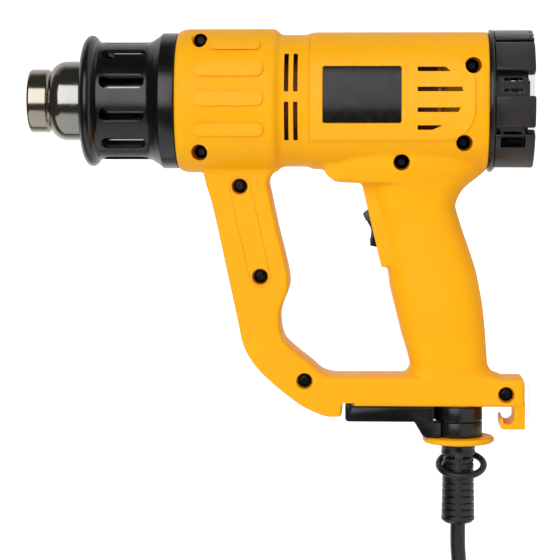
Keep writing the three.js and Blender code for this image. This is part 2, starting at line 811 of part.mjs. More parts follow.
function capLobes() {
  const flangeRearZ = housingRearZ - gap - capFlangeHeight;
  return Array.from({ length: lobeCount }, (_, k) => {
    const middle = 2 * Math.PI * k / lobeCount;
    const outline = [capRadius, lobeInnerRadius].flatMap((radius, ring) => (
      Array.from({ length: lobeSteps + 1 }, (_, i) => {
        const share = ring === 0 ? i / lobeSteps : 1 - i / lobeSteps;
        const angle = middle + lobeAngle * (share - 1 / 2);
        return new THREE.Vector2(radius * Math.cos(angle), radius * Math.sin(angle));
      })));
    const geometry = new THREE.ExtrudeGeometry(new THREE.Shape(outline), {
      depth: flangeRearZ + gap, bevelThickness: lobeEdge, bevelSize: lobeEdge, bevelOffset: -lobeEdge,
      bevelSegments: 1,
    });
    const upper = block(-capRadius, capRadius, -capRadius, capRadius, 0, flangeRearZ + gap);
    return solidOf(geometry.translate(0, 0, lobeEdge)).intersect(upper);
  });
}

function capIntakes() {
  const side = Array.from({ length: lobeCount }, (_, k) => {
    const middle = 2 * Math.PI * (k + 1 / 2) / lobeCount;
    return [-1, 1].map((step) => block(capBoreRadius - capFloor, capFlangeRadius, -intakeWidth / 2,
      intakeWidth / 2, intakeRearZ, intakeRearZ + intakeLength)
      .rotate([0, 0, THREE.MathUtils.radToDeg(middle + step * intakeSpread)]));
  });
  const floor = Array.from({ length: floorSlotCount }, (_, k) => (
    block(floorSlotInner, floorSlotOuter, -floorSlotWidth / 2, floorSlotWidth / 2, 0, capWallTopZ + gap)
      .rotate([0, 0, (k + 1 / 2) * 360 / floorSlotCount])));
  return [...side.flat(), ...floor];
}

function capPosts() {
  return Array.from({ length: postCount }, (_, k) => {
    const angle = 2 * Math.PI * (k / postCount + 1 / 4);
    return rodAlongZ(postRadius, capWallTopZ - gap, boardZ - gap, postPlaceRadius * Math.cos(angle),
      postPlaceRadius * Math.sin(angle));
  });
}

function rearCap() {
  const hole = rodAlongZ(dialStemRadius + gap, 0, boardZ);
  return cutBy(joined(capBody(), capLobes()), capIntakes(), hole).add(joined(capPosts()));
}

function temperatureDial() {
  const knobTop = capRecessZ - gap;
  const rim = Array.from({ length: 2 * dialFluteCount }, (_, i) => {
    const angle = Math.PI * i / dialFluteCount;
    const radius = dialRadius - (i % 2) * dialFluteDepth;
    return new THREE.Vector2(radius * Math.cos(angle), radius * Math.sin(angle));
  });
  const rearZ = knobTop - dialProud;
  const knob = new THREE.ExtrudeGeometry(new THREE.Shape(rim), {
    depth: dialProud - dialGripHeight, bevelEnabled: false,
  });
  const grip = block(-dialRadius + dialGripHalf, dialRadius - dialGripHalf, -dialGripHalf, dialGripHalf,
    rearZ, knobTop);
  const stem = rodAlongZ(dialStemRadius, rearZ + dialGripHeight, capWallTopZ + gap);
  return joined(solidOf(knob.translate(0, 0, rearZ + dialGripHeight)), grip, stem);
}

function controlBoard() {
  return rodAlongZ(boardRadius, boardZ, boardZ + boardThickness, 0, 0, tubeSides);
}

function dialPot() {
  return block(-potSize / 2, potSize / 2, -potSize / 2, potSize / 2, capWallTopZ + 2 * gap, boardZ - gap);
}

function heatsink() {
  const base = boardZ + boardThickness + gap;
  const plate = block(sinkX - sinkLength / 2, sinkX + sinkLength / 2, sinkY, sinkY + sinkBase, base,
    base + sinkHeight);
  const pitch = (sinkLength - sinkFinThickness) / (sinkFins - 1);
  const fins = Array.from({ length: sinkFins }, (_, k) => {
    const x = sinkX - sinkLength / 2 + k * pitch;
    return block(x, x + sinkFinThickness, sinkY - sinkDepth + sinkBase, sinkY + sinkBase / 2, base,
      base + sinkHeight);
  });
  return joined(plate, fins);
}

function filterCapacitor() {
  const base = boardZ + boardThickness + gap;
  return block(capacitorX - capacitorLength / 2, capacitorX + capacitorLength / 2,
    capacitorY - capacitorDepth / 2, capacitorY + capacitorDepth / 2, base, base + capacitorHeight);
}

// Nozzle guard: its neck passes the housing's front hole and a ring holds it from inside
function nozzleGuard() {
  const holdFrontZ = housingFrontZ - frontWall - gap;
  const flangeRearZ = housingFrontZ + gap;
  const neckBore = guardNeckRadius - guardNeckWall;
  const bodyBore = guardBodyRadius - guardBodyWall;
  const lip = arc(guardLipInner, guardLipZ, guardLipRadius - guardLipInner, guardFrontZ - guardLipZ,
    0, Math.PI / 2, 2);
  const body = solidOf(turned([
    [neckBore, holdFrontZ - guardHoldThickness], [guardHoldRadius, holdFrontZ - guardHoldThickness],
    [guardHoldRadius, holdFrontZ], [guardNeckRadius, holdFrontZ], [guardNeckRadius, flangeRearZ],
    [guardFlangeRadius, flangeRearZ], [guardFlangeRadius, guardFlangeTopZ - guardFlangeRound],
    [guardFlangeRadius - guardFlangeRound, guardFlangeTopZ],
    [(guardFlangeRadius + guardBodyRadius) / 2, (guardFlangeTopZ + guardFlareTopZ) / 2 + gap],
    [guardBodyRadius, guardFlareTopZ], [guardBodyRadius, guardLipStartZ],
    [(guardBodyRadius + guardLipRadius) / 2, (guardLipStartZ + guardLipZ) / 2],
    ...lip, [bodyBore, guardFrontZ], [bodyBore, guardFlangeTopZ - guardBodyWall],
    [neckBore, guardFlangeTopZ - guardBodyWall], [neckBore, holdFrontZ - guardHoldThickness],
  ], guardSides));
  const half = guardSlotWidth / 2;
  const outline = [
    [guardSlotRearZ, guardSlotCorner - half], [guardSlotRearZ, half - guardSlotCorner],
    [guardSlotRearZ + guardSlotCorner, half], [guardSlotFrontZ - guardSlotCorner, half],
    [guardSlotFrontZ, half - guardSlotCorner], [guardSlotFrontZ, guardSlotCorner - half],
    [guardSlotFrontZ - guardSlotCorner, -half], [guardSlotRearZ + guardSlotCorner, -half],
  ];
  const shape = new THREE.Shape(outline.map(([z, across]) => new THREE.Vector2(across, z)));
  const slots = Array.from({ length: guardSlotCount }, (_, k) => {
    const slot = new THREE.ExtrudeGeometry(shape, { depth: overrun, bevelEnabled: false });
    const basis = new THREE.Matrix4().makeBasis(
      new THREE.Vector3(0, 1, 0), new THREE.Vector3(0, 0, 1), new THREE.Vector3(1, 0, 0));
    slot.applyMatrix4(basis).translate(tubeRadius + tubeWall, 0, 0);
    return solidOf(slot.rotateZ(guardSlotPhase + 2 * Math.PI * k / guardSlotCount));
  });
  return cutBy(body, slots);
}

function nozzleTube() {
  const bulb = tubeRadius - spigotRadius;
  const length = bulbEndZ - bulbStartZ;
  const outside = arc(spigotRadius, bulbStartZ, bulb, length, 0, Math.PI / 2, 5);
  const inside = arc(spigotRadius - tubeWall, bulbStartZ, bulb, length - tubeWall, Math.PI / 2, 0, 2);
  const grooveZ = bulbEndZ + spigotGrooveLength;
  const bore = spigotRadius - 2 * tubeWall;
  return turned([
    [tubeFlangeRadius, tubeRearZ], [tubeFlangeRadius, tubeFlangeFrontZ], [tubeRadius, tubeFlangeFrontZ],
    ...outside, [spigotRadius - spigotGroove, bulbEndZ + spigotGrooveLength / 2], [spigotRadius, grooveZ],
    [spigotRadius, spigotFrontZ - spigotRim], [spigotRadius - spigotRim / 3, spigotFrontZ - spigotRim / 3],
    [spigotRadius - spigotRim, spigotFrontZ], [bore, spigotFrontZ], [bore, bulbEndZ], ...inside,
    [tubeRadius - tubeWall, tubeRearZ], [tubeFlangeRadius, tubeRearZ],
  ], tubeSides);
}

function insulatorTube() {
  const radius = tubeRadius - tubeWall - gap;
  return turned(bored([[radius, tubeFlangeFrontZ + heaterBaseHeight + gap], [radius, heaterFrontZ]],
    radius - insulatorWall), tubeSides);
}

function heaterBase() {
  const radius = tubeRadius - tubeWall - gap;
  return turned(bored([[radius, tubeFlangeFrontZ], [radius, tubeFlangeFrontZ + heaterBaseHeight]],
    radius - heaterBaseRing), tubeSides);
}

function heaterCore() {
  const radius = tubeRadius - tubeWall - insulatorWall - 2 * gap;
  const rearZ = tubeFlangeFrontZ + heaterBaseHeight + gap;
  const shape = new THREE.Shape().absarc(0, 0, radius, 0, 2 * Math.PI);
  for (let q = -heaterRings; q <= heaterRings; q += 1) {
    for (let r = -heaterRings; r <= heaterRings; r += 1) {
      if (Math.abs(q + r) <= heaterRings) {
        const x = heaterHolePitch * (q + r / 2);
        const y = heaterHolePitch * r * Math.sqrt(3) / 2;
        const hole = new THREE.Path().absarc(x, y, heaterHoleRadius, 0, 2 * Math.PI, true);
        shape.holes.push(hole);
      }
    }
  }
  const geometry = new THREE.ExtrudeGeometry(shape, {
    depth: heaterFrontZ - rearZ - gap, bevelEnabled: false, curveSegments: 3,
  });
  return geometry.translate(0, 0, rearZ);
}

function airDuct() {
  const frontZ = tubeRearZ - gap;
  const flangeFrontZ = ductRearZ + ductFlangeThickness;
  const throat = ductThroatRadius;
  return turned([
    [ductRadius - ductWall, ductRearZ], [ductFlangeRadius, ductRearZ], [ductFlangeRadius, flangeFrontZ],
    [ductRadius, flangeFrontZ], [ductRadius, ductConeStartZ], [throat + ductWall, frontZ - ductFrontFlange],
    [tubeFlangeRadius, frontZ - ductFrontFlange], [tubeFlangeRadius, frontZ], [throat, frontZ],
    [throat, frontZ - ductFrontFlange], [ductRadius - ductWall, ductConeStartZ],
    [ductRadius - ductWall, ductRearZ],
  ], tubeSides);
}

function fanWheel() {
  const bore = shaftRadius + gap;
  const hubWall = [[fanHubRadius, fanRearZ], [fanHubRadius, fanRearZ + fanHeight]];
  const hub = turned(bored(hubWall, bore), smallSides);
  const disc = turned(bored([[fanRadius, fanRearZ + fanHeight - fanDisc], [fanRadius, fanRearZ + fanHeight]],
    fanHubRadius - gap), tubeSides);
  const blades = Array.from({ length: fanBlades }, (_, k) => (
    block(fanBladeInner, fanRadius - gap, -fanBladeThickness / 2, fanBladeThickness / 2, fanRearZ,
      fanRearZ + fanHeight - fanDisc / 2)
      .translate([-fanBladeInner, 0, 0]).rotate([0, 0, THREE.MathUtils.radToDeg(fanBladeTwist)])
      .translate([fanBladeInner, 0, 0]).rotate([0, 0, k * 360 / fanBlades])));
  const rim = rodAlongZ(fanRadius, fanRearZ, fanRearZ + fanHeight, 0, 0, tubeSides);
  return joined(solidOf(hub), solidOf(disc), blades.map((blade) => blade.intersect(rim)));
}

function motorCan() {
  return turned(bored([
    [motorBossRadius, motorRearZ - motorBossHeight], [motorBossRadius, motorRearZ],
    [motorRadius, motorRearZ], [motorRadius, motorFrontZ], [motorBossRadius, motorFrontZ],
    [motorBossRadius, motorFrontZ + motorBossHeight],
  ], shaftRadius + gap), smallSides);
}

function motorMount() {
  const inner = motorRadius + gap;
  const ring = turned(bored([[inner + mountRing, mountZ], [inner + mountRing, mountZ + mountHeight]], inner),
    tubeSides);
  const reach = ductRadius - ductWall - gap;
  const inside = rodAlongZ(reach, mountZ, mountZ + mountHeight, 0, 0, tubeSides);
  const arms = Array.from({ length: mountArms }, (_, k) => (
    block(inner + mountRing / 2, ductRadius, -mountArmWidth / 2, mountArmWidth / 2, mountZ,
      mountZ + mountHeight).rotate([0, 0, k * 360 / mountArms]).intersect(inside)));
  return joined(solidOf(ring), arms);
}

// Rocker switch, in its own frame
function switchBody() {
  const top = -bezelWall - gap;
  const body = block(-switchHalfLength, switchHalfLength, -switchHalfWidth, switchHalfWidth,
    -switchBodyDepth, top);
  const pocket = block(-rockerHalfLength - rockerEndGap, rockerHalfLength + rockerEndGap,
    -rockerHalfWidth - gap, rockerHalfWidth + gap, -switchPocketDepth, overrun);
  const blades = [-1, 1].map((end) => block(end * bladeSpacing - bladeThickness / 2,
    end * bladeSpacing + bladeThickness / 2, -bladeHalfWidth, bladeHalfWidth,
    -switchBodyDepth - bladeReach, -switchBodyDepth + gap));
  return joined(body.subtract(pocket), blades);
}

function switchRocker() {
  const outline = [
    [rockerHalfLength - rockerTipInset, rockerTipRise], [0, rockerMiddleRise],
    [rockerTipInset - rockerHalfLength, rockerTipRise], [-rockerHalfLength, 0],
    [-rockerHalfLength, -rockerRimDepth], [-rockerKeelHalf, -rockerRimDepth],
    [-rockerKeelHalf / 2, -rockerKeelDepth], [rockerKeelHalf / 2, -rockerKeelDepth],
    [rockerKeelHalf, -rockerRimDepth], [rockerHalfLength, -rockerRimDepth], [rockerHalfLength, 0],
  ];
  const shape = new THREE.Shape(outline.map(([up, out]) => new THREE.Vector2(up, out + rockerPivotDepth)));
  const geometry = new THREE.ExtrudeGeometry(shape, { depth: 2 * rockerHalfWidth, bevelEnabled: false });
  return geometry.translate(0, 0, -rockerHalfWidth).rotateX(Math.PI / 2);
}

function screwGeometry(headRadius, headHeight, shankRadius, length) {
  return turned([
    [0, 0], [shankRadius, 0], [shankRadius, length], [headRadius, length],
    [headRadius - gap, length + headHeight],
    [screwSocketRadius, length + headHeight], [screwSocketRadius, length + headHeight - screwSocketDepth],
    [0, length + headHeight - screwSocketDepth],
  ], screwSides).translate(0, 0, -length);
}

// Stand legs, turning on the retainer's tube. The left leg's hub lies under the right leg's
function legHub(top, bottom) {
  const hub = rodAlongX(legHubRadius, -bottom, -top, 0, cordAxisZ);
  return hub.subtract(rodAlongX(retainerTubeRadius + gap, -bottom - gap, -top + gap, 0, cordAxisZ));
}

function legArm(side, reach) {
  const near = side * gap;
  const far = side * (gap + legArmWidth);
  const [y0, y1] = [Math.min(near, far), Math.max(near, far)];
  const tip = cordAxisZ + legArmReach;
  const arm = block(-upperHubBottom, -upperHubTop, y0, y1, cordAxisZ + reach, tip);
  const nub = block(-upperHubTop - gap, legNubHeight - upperHubTop, y0, y1, tip - legNubLength, tip);
  return arm.add(nub);
}

function rightLeg() {
  const bore = rodAlongX(retainerTubeRadius + gap, -hookDrop - overrun, 0, 0, cordAxisZ);
  return cutBy(joined(legHub(upperHubTop, upperHubBottom), legArm(1, retainerTubeRadius)), bore);
}

function leftLeg() {
  const [y0, y1] = [-gap - legArmWidth, -gap];
  const joint = cordAxisZ + legWebReach;
  const web = acrossTool([
    [cordAxisZ + retainerTubeRadius, lowerHubTop], [cordAxisZ + legArmInner, lowerHubTop],
    [cordAxisZ + legArmInner, upperHubTop], [joint + legHubHeight, upperHubTop],
    [joint, upperHubBottom], [joint - legHubHeight / 2, lowerHubBottom],
    [cordAxisZ + retainerTubeRadius, lowerHubBottom],
  ], legArmWidth / 2, 0).translate([0, (y0 + y1) / 2, 0]);
  const bore = rodAlongX(retainerTubeRadius + gap, -hookDrop - overrun, 0, 0, cordAxisZ);
  return cutBy(joined(legHub(lowerHubTop, lowerHubBottom), legArm(-1, legArmInner), web), bore);
}

function standRetainer() {
  return turnedAboutCord([
    [retainerBore, retainerLipTop], [retainerLipRadius, retainerLipTop],
    [retainerLipRadius, retainerLipBottom], [retainerTubeRadius, retainerLipBottom],
    [retainerTubeRadius, discTop], [retainerDiscRadius, discTop], [retainerDiscRadius, discBottom],
    [retainerBore, discBottom], [retainerBore, retainerLipTop],
  ], ringSides);
}

function strainRelief() {
  const bore = cordRadius + gap;
  const flangeTop = bootFlangeBottom - bootFlangeThickness;
  const ribs = Array.from({ length: bootRibCount }, (_, k) => {
    const drop = bootShoulder + k * bootRibPitch;
    const inner = bootRadius - bootSlotDepth;
    return [[bootRadius, drop], [bootRadius, drop + bootRibPitch - bootSlot],
      [inner, drop + bootRibPitch - bootSlot / 2]];
  });
  return turnedAboutCord([
    [bore, flangeTop], [bootFlangeRadius, flangeTop],
    [bootFlangeRadius, bootFlangeBottom], [bootNeckRadius, bootFlangeBottom], [bootNeckRadius, bootShoulder],
    ...ribs.flat(), [bootRadius, bootShoulder + bootRibbedLength],
    [bootRadius - bootEndRound / 3, bootEndDrop - bootEndRound / 3],
    [bootRadius - bootEndRound, bootEndDrop],
    [bore, bootEndDrop], [bore, flangeTop],
  ], smallSides);
}

function hangRing() {
  const top = discBottom + gap;
  const collar = turnedAboutCord([
    [bootNeckRadius + gap, top], [collarRadius - gap, top], [collarRadius, top + collarHeight / 4],
    [collarRadius - gap, top + collarHeight / 2], [collarRadius, top + collarHeight - gap],
    [collarRadius - gap, top + collarHeight], [bootNeckRadius + gap, top + collarHeight],
    [bootNeckRadius + gap, top],
  ], ringSides);
  const loop = new THREE.TorusGeometry(loopRadius, loopSection, 6, ringSides);
  loop.rotateY(Math.PI / 2).rotateZ(-loopTilt);
  const loopX = -discBottom - loopDrop;
  loop.translate(loopX, 0, cordAxisZ - loopShift);
  const rise = loopRadius * Math.sin(loopTilt);
  const strapY = loopRadius * Math.cos(loopTilt);
  const strap = acrossStrap([
    [-top - collarHeight / 2, collarRadius - gap], [-top - collarHeight, collarRadius - gap - gap],
    [loopX + rise - loopSection / 2, strapY + loopSection / 2],
    [loopX + rise + loopSection / 2, strapY + loopSection],
    [-top - collarHeight / 2, collarRadius + strapThickness],
  ]);
  return joined(solidOf(collar), solidOf(loop), strap);
}

// A plate cut from a side view of the ring, centred on the cord's axis
function acrossStrap(outline) {
  const shape = new THREE.Shape(outline.map(([x, y]) => new THREE.Vector2(x, y)));
  const plate = new THREE.ExtrudeGeometry(shape, { depth: 2 * strapHalfWidth, bevelEnabled: false });
  return solidOf(plate.translate(0, 0, cordAxisZ - strapHalfWidth));
}

function cordClamp() {
  const half = clampPostSpacing + clampEnd;
  const bar = block(-clampDrop - clampWidth / 2, -clampDrop + clampWidth / 2,
    -cordRadius - gap - clampThickness, -cordRadius - gap, cordAxisZ - half, cordAxisZ + half);
  return cutBy(bar, [-1, 1].map((end) => rodAlongY(clampShankRadius + gap, -overrun, 0, -clampDrop,
    cordAxisZ + end * clampPostSpacing, screwSides)));
}

function terminalBlock() {
  return block(-terminalDrop - terminalLength / 2, -terminalDrop + terminalLength / 2, terminalInnerY,
    terminalOuterY, terminalZ - terminalWidth / 2, terminalZ + terminalWidth / 2);
}

// A round cord along points, as one unbroken tube with flat ends
function tube(points, radius, sides, steps) {
  const curve = new THREE.CatmullRomCurve3(points, false, 'centripetal');
  const section = new THREE.Shape();
  for (let i = 0; i < sides; i += 1) {
    const angle = 2 * Math.PI * i / sides;
    const [x, y] = [radius * Math.cos(angle), radius * Math.sin(angle)];
    if (i === 0) section.moveTo(x, y);
    else section.lineTo(x, y);
  }
  return new THREE.ExtrudeGeometry(section, { steps, extrudePath: curve, bevelEnabled: false });
}

function routeLength(points) {
  return new THREE.CatmullRomCurve3(points, false, 'centripetal').getLength();
}

const cordExit = new THREE.Vector3(-bootEndDrop - gap, 0, cordAxisZ);
const leadPoints = leadRoute.map((offset) => new THREE.Vector3(...offset).add(cordExit));
const straightEnd = 2 * cordRadius;
const coilStart = new THREE.Vector3(Math.sin(coilStartAngle), -Math.cos(coilStartAngle), 0)
  .multiplyScalar(straightEnd + gap).add(leadPoints[leadPoints.length - 1]);
const coilCentre = new THREE.Vector3(
  coilStart.x - coilOuterRadius * Math.cos(coilStartAngle),
  coilStart.y - coilOuterRadius * Math.sin(coilStartAngle), 0);

// Loops of the coil: in a spiral to the middle, up a layer in half a turn, out again, and so on up
function coilPoint(turn) {
  const layer = THREE.MathUtils.clamp(Math.round(turn / coilLayerTurns), 1, coilLayers - 1);
  const beyond = turn - layer * coilLayerTurns;
  const away = Math.abs(beyond);
  const eased = away < coilBlendShare
    ? away * away / (2 * coilBlendShare) + coilBlendShare / 2
    : away;
  const climb = layer - 1 + THREE.MathUtils.smoothstep(beyond, -coilBlendShare, coilBlendShare);
  const radius = layer % 2 === 1 ? coilInnerRadius + coilPitch * eased : coilOuterRadius - coilPitch * eased;
  const angle = coilStartAngle - 2 * Math.PI * turn;
  return new THREE.Vector3(
    coilCentre.x + radius * Math.cos(angle), coilCentre.y + radius * Math.sin(angle),
    coilLayerZ + coilLayerHeight * climb);
}

function coilHeading(turn) {
  return coilPoint(turn + headingStep).sub(coilPoint(turn - headingStep)).normalize();
}

// The coil's tube: a six-sided ring at each step, square to the cord, and a straight run at each end
function coilTube() {
  const steps = Math.round(coilTurns * coilStepsPerTurn);
  const stations = Array.from({ length: steps + 1 }, (_, i) => [coilTurns * i / steps, 0]);
  const rings = [[0, -straightEnd], ...stations, [coilTurns, straightEnd]].map(([turn, beyond]) => {
    const along = coilHeading(turn);
    const middle = coilPoint(turn).addScaledVector(along, beyond);
    const side = new THREE.Vector3(0, 0, 1).cross(along).normalize();
    const up = along.clone().cross(side);
    return Array.from({ length: coilSides }, (_, k) => {
      const angle = 2 * Math.PI * (k + 1 / 2) / coilSides;
      return middle.clone().addScaledVector(side, cordRadius * Math.cos(angle))
        .addScaledVector(up, cordRadius * Math.sin(angle));
    });
  });
  return lofted(rings);
}

// The cord's end leaves the outer loop, bends in over the others and runs into the plug on top of them
const plugCordZ = coilTopZ + gap + plugThickness / 2;
const tailHeading = coilHeading(coilTurns);
const tailStart = coilPoint(coilTurns).addScaledVector(tailHeading, straightEnd + gap);
const tailPoints = [tailStart, ...tailShares.map((share) => tailPoint(...share))];

function tailPoint(along, up) {
  const start = Math.atan2(tailHeading.x, -tailHeading.y);
  const angle = start - tailTurned * along;
  return new THREE.Vector3(
    tailStart.x + tailBend * (Math.cos(angle) - Math.cos(start)),
    tailStart.y + tailBend * (Math.sin(angle) - Math.sin(start)),
    tailStart.z + (plugCordZ - tailStart.z) * up);
}

function leastCoilGap() {
  const count = Math.round(coilTurns * coilStepsPerTurn) * 4;
  const points = Array.from({ length: count + 1 }, (_, i) => coilPoint(coilTurns * i / count));
  const apart = Math.round(count / coilTurns / 2);
  let least = Infinity;
  points.forEach((point, i) => {
    for (let j = i + apart; j < points.length; j += 1) least = Math.min(least, point.distanceTo(points[j]));
  });
  return least - 2 * cordRadius;
}

function cordTie() {
  const inner = coilInnerRadius + coilPitch * coilBlendShare / 2 - cordRadius - tieSlack;
  const outer = coilOuterRadius + cordRadius + tieSlack;
  const top = coilTopZ + tieSlack;
  const loop = block(inner - tieThickness, outer + tieThickness, -tieWidth / 2, tieWidth / 2, 0,
    top + tieThickness).subtract(block(inner, outer, -tieWidth, tieWidth, tieThickness, top));
  return loop.rotate([0, 0, THREE.MathUtils.radToDeg(tieAngle)]).translate([coilCentre.x, coilCentre.y, 0]);
}

// The plug in its own frame: the cord comes in along +X, the pins leave along +X
function plugBody() {
  const shoulder = plugLength * plugShoulderShare;
  const outline = [[0, -plugNeckHalf], [shoulder, -plugHalfWidth], [plugLength, -plugHalfWidth],
    [plugLength, plugHalfWidth], [shoulder, plugHalfWidth], [0, plugNeckHalf]];
  const shape = new THREE.Shape(outline.map(([x, y]) => new THREE.Vector2(x, y)));
  const geometry = new THREE.ExtrudeGeometry(shape, {
    depth: plugThickness - 2 * plugEdge, bevelThickness: plugEdge, bevelSize: plugEdge,
    bevelOffset: -plugEdge, bevelSegments: 1,
  });
  const body = solidOf(geometry.translate(0, 0, plugEdge - plugThickness / 2));
  return cutBy(body, [-1, 1].map((end) => rodAlongX(pinRadius + gap, plugLength - pinInside,
    plugLength + gap, end * pinSpacing / 2, 0, smallSides)));
}

function plugPin(end) {
  const round = pinRadius / 2;
  const profile = [[0, 0], [pinRadius, 0], [pinRadius, pinInside + pinLength - round],
    [pinRadius - round, pinInside + pinLength], [0, pinInside + pinLength]];
  const points = profile.map(([radius, x]) => new THREE.Vector2(radius, x));
  return new THREE.LatheGeometry(points, smallSides).rotateZ(-Math.PI / 2)
    .translate(plugLength - pinInside + gap, end * pinSpacing / 2, 0);
}

function mesh(name, form, material, parent) {
  const geometry = form instanceof THREE.BufferGeometry ? closed(form) : geometryOf(form);
  geometry.computeVertexNormals();
  const piece = new THREE.Mesh(geometry, material);
  piece.name = name;
  parent.add(piece);
  return piece;
}

const tool = new THREE.Group();

mesh('left_shell', shellSolid(-1), yellow, tool);
mesh('right_shell', shellSolid(1), yellow, tool);
mesh('label_left', labelPlate(-1), labelBlack, tool);
mesh('label_right', labelPlate(1), labelBlack, tool);

mesh('rear_cap', rearCap(), blackPlastic, tool);
mesh('temperature_dial', temperatureDial(), blackPlastic, tool);
mesh('dial_potentiometer', dialPot(), blackPlastic, tool);
mesh('control_board', controlBoard(), boardGreen, tool);
mesh('triac_heatsink', heatsink(), aluminium, tool);
mesh('filter_capacitor', filterCapacitor(), leadBlue, tool);

mesh('nozzle_guard', nozzleGuard(), blackPlastic, tool);
mesh('nozzle_tube', nozzleTube(), steel, tool);
mesh('insulator_tube', insulatorTube(), mica, tool);
mesh('heater_base', heaterBase(), ceramic, tool);
mesh('heater_core', heaterCore(), ceramic, tool);

mesh('air_duct', airDuct(), blackPlastic, tool);
mesh('fan_wheel', fanWheel(), blackPlastic, tool);
mesh('motor_can', motorCan(), steel, tool);
mesh('motor_mount', motorMount(), blackPlastic, tool);
mesh('motor_shaft', rodAlongZ(shaftRadius, shaftRearZ, shaftFrontZ), steel, tool);

const switchGroup = new THREE.Group();
switchGroup.position.set(-switchDrop, 0, switchZ);
switchGroup.rotation.y = switchLean;
tool.add(switchGroup);
mesh('switch_body', switchBody(), blackPlastic, switchGroup);
const rocker = mesh('switch_rocker', switchRocker(), blackPlastic, switchGroup);
rocker.position.z = -rockerPivotDepth;

screwPlaces.forEach(([drop, z], index) => {
  const form = screwGeometry(screwHeadRadius, screwHeadHeight, screwShankRadius, screwLength - gap);
  const screw = mesh(`housing_screw_${index + 1}`, form, darkSteel, tool);
  screw.rotation.x = Math.PI / 2;
  screw.position.set(-drop, screwSeat(index) - gap, z);
});

mesh('stand_retainer', standRetainer(), yellow, tool);
mesh('stand_leg_right', rightLeg(), blackPlastic, tool);
mesh('stand_leg_left', leftLeg(), blackPlastic, tool);
mesh('strain_relief', strainRelief(), rubber, tool);
mesh('hang_ring', hangRing(), rubber, tool);

mesh('cord_clamp', cordClamp(), blackPlastic, tool);
[-1, 1].forEach((end, index) => {
  const form = screwGeometry(clampHeadRadius, clampHeadHeight, clampShankRadius, clampScrewLength);
  const screw = mesh(`clamp_screw_${index + 1}`, form, steel, tool);
  screw.rotation.x = Math.PI / 2;
  screw.position.set(-clampDrop, -cordRadius - clampThickness - 2 * gap, cordAxisZ + end * clampPostSpacing);
});
mesh('terminal_block', terminalBlock(), ceramic, tool);
const innerCord = rodAlongX(cordRadius, -bootEndDrop, -jacketEndDrop, 0, cordAxisZ, cordSides);
mesh('cord_inner', innerCord, rubber, tool);

// The tool's box sets the origin, so the cord that lies on the floor is left out of it
const whole = new THREE.Group();
whole.add(tool);
const box = new THREE.Box3().setFromObject(tool);
tool.position.x = -(box.min.x + box.max.x) / 2;

const floorCord = new THREE.Group();
floorCord.position.x = tool.position.x;
whole.add(floorCord);
mesh('power_cord', tube(leadPoints, cordRadius, cordSides, Math.round(routeLength(leadPoints) / cordStep)),
  rubber, floorCord);
mesh('cord_coil', coilTube(), rubber, floorCord);
mesh('cord_tail', tube(tailPoints, cordRadius, cordSides, Math.round(routeLength(tailPoints) / cordStep)),
  rubber, floorCord);
mesh('cord_tie', cordTie(), blackPlastic, floorCord);

const plug = new THREE.Group();
const tailEnd = tailPoints[tailPoints.length - 1];
const plugHeading = Math.atan2(tailHeading.y, tailHeading.x) - tailTurned;
plug.rotation.z = plugHeading;
const plugStep = new THREE.Vector3(Math.cos(plugHeading), Math.sin(plugHeading), 0);
plug.position.copy(tailEnd).addScaledVector(plugStep, gap);
floorCord.add(plug);
mesh('plug_body', plugBody(), rubber, plug);
[-1, 1].forEach((end, index) => mesh(`plug_pin_${index + 1}`, plugPin(end), brass, plug));

const coilLength = Array.from({ length: 2000 }, (_, i) => i / 2000 * coilTurns)
  .reduce((sum, turn) => sum + coilPoint(turn).distanceTo(coilPoint(turn + coilTurns / 2000)), 0);
console.log(`coil: least gap between loops ${leastCoilGap().toFixed(2)} mm`);
const freeLength = routeLength(leadPoints) + coilLength + routeLength(tailPoints) + 2 * straightEnd;
console.log(`cord outside the tool: ${freeLength.toFixed(0)} mm`);

export default whole;
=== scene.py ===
"""A corded heat gun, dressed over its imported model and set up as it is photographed."""

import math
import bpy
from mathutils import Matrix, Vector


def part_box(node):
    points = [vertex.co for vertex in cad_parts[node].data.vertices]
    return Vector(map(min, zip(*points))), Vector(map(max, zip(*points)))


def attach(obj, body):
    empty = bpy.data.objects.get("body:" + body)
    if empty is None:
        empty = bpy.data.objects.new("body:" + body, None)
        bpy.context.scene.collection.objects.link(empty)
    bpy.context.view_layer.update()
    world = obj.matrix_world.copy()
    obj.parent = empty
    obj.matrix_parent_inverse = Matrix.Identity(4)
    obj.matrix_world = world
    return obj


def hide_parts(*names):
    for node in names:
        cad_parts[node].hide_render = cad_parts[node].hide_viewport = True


bl_info = {
    "name": "Heat gun",
    "version": (1, 0, 0),
    "blender": (4, 5, 0),
    "location": "3D View > Sidebar > Heat gun",
    "description": "Models and finishes a corded heat gun with closed handle and fold-out stand",
    "category": "Add Mesh",
}

import bmesh
import bpy
from bpy.props import FloatProperty, FloatVectorProperty, IntProperty
from mathutils import Matrix, Vector
from mathutils.bvhtree import BVHTree

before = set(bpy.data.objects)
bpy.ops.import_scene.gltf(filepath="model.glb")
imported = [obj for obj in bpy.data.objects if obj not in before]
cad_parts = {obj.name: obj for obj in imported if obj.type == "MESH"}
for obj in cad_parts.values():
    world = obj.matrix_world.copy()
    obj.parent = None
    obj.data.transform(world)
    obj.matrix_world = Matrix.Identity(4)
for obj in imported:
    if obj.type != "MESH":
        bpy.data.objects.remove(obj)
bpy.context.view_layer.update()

# The forms below are made in the tool's own millimetres: the barrel's axis is x = 0, a drop down
# the handle is -x, the left side is -y, and z is measured from the plane that the cap stands on.
MM = 0.001
NOZZLE_LOW, NOZZLE_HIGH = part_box("nozzle_tube")
AXIS_X = (NOZZLE_LOW[0] + NOZZLE_HIGH[0]) / 2
TO_ROW = Matrix.Translation((AXIS_X, 0, 0)) @ Matrix.Scale(MM, 4)

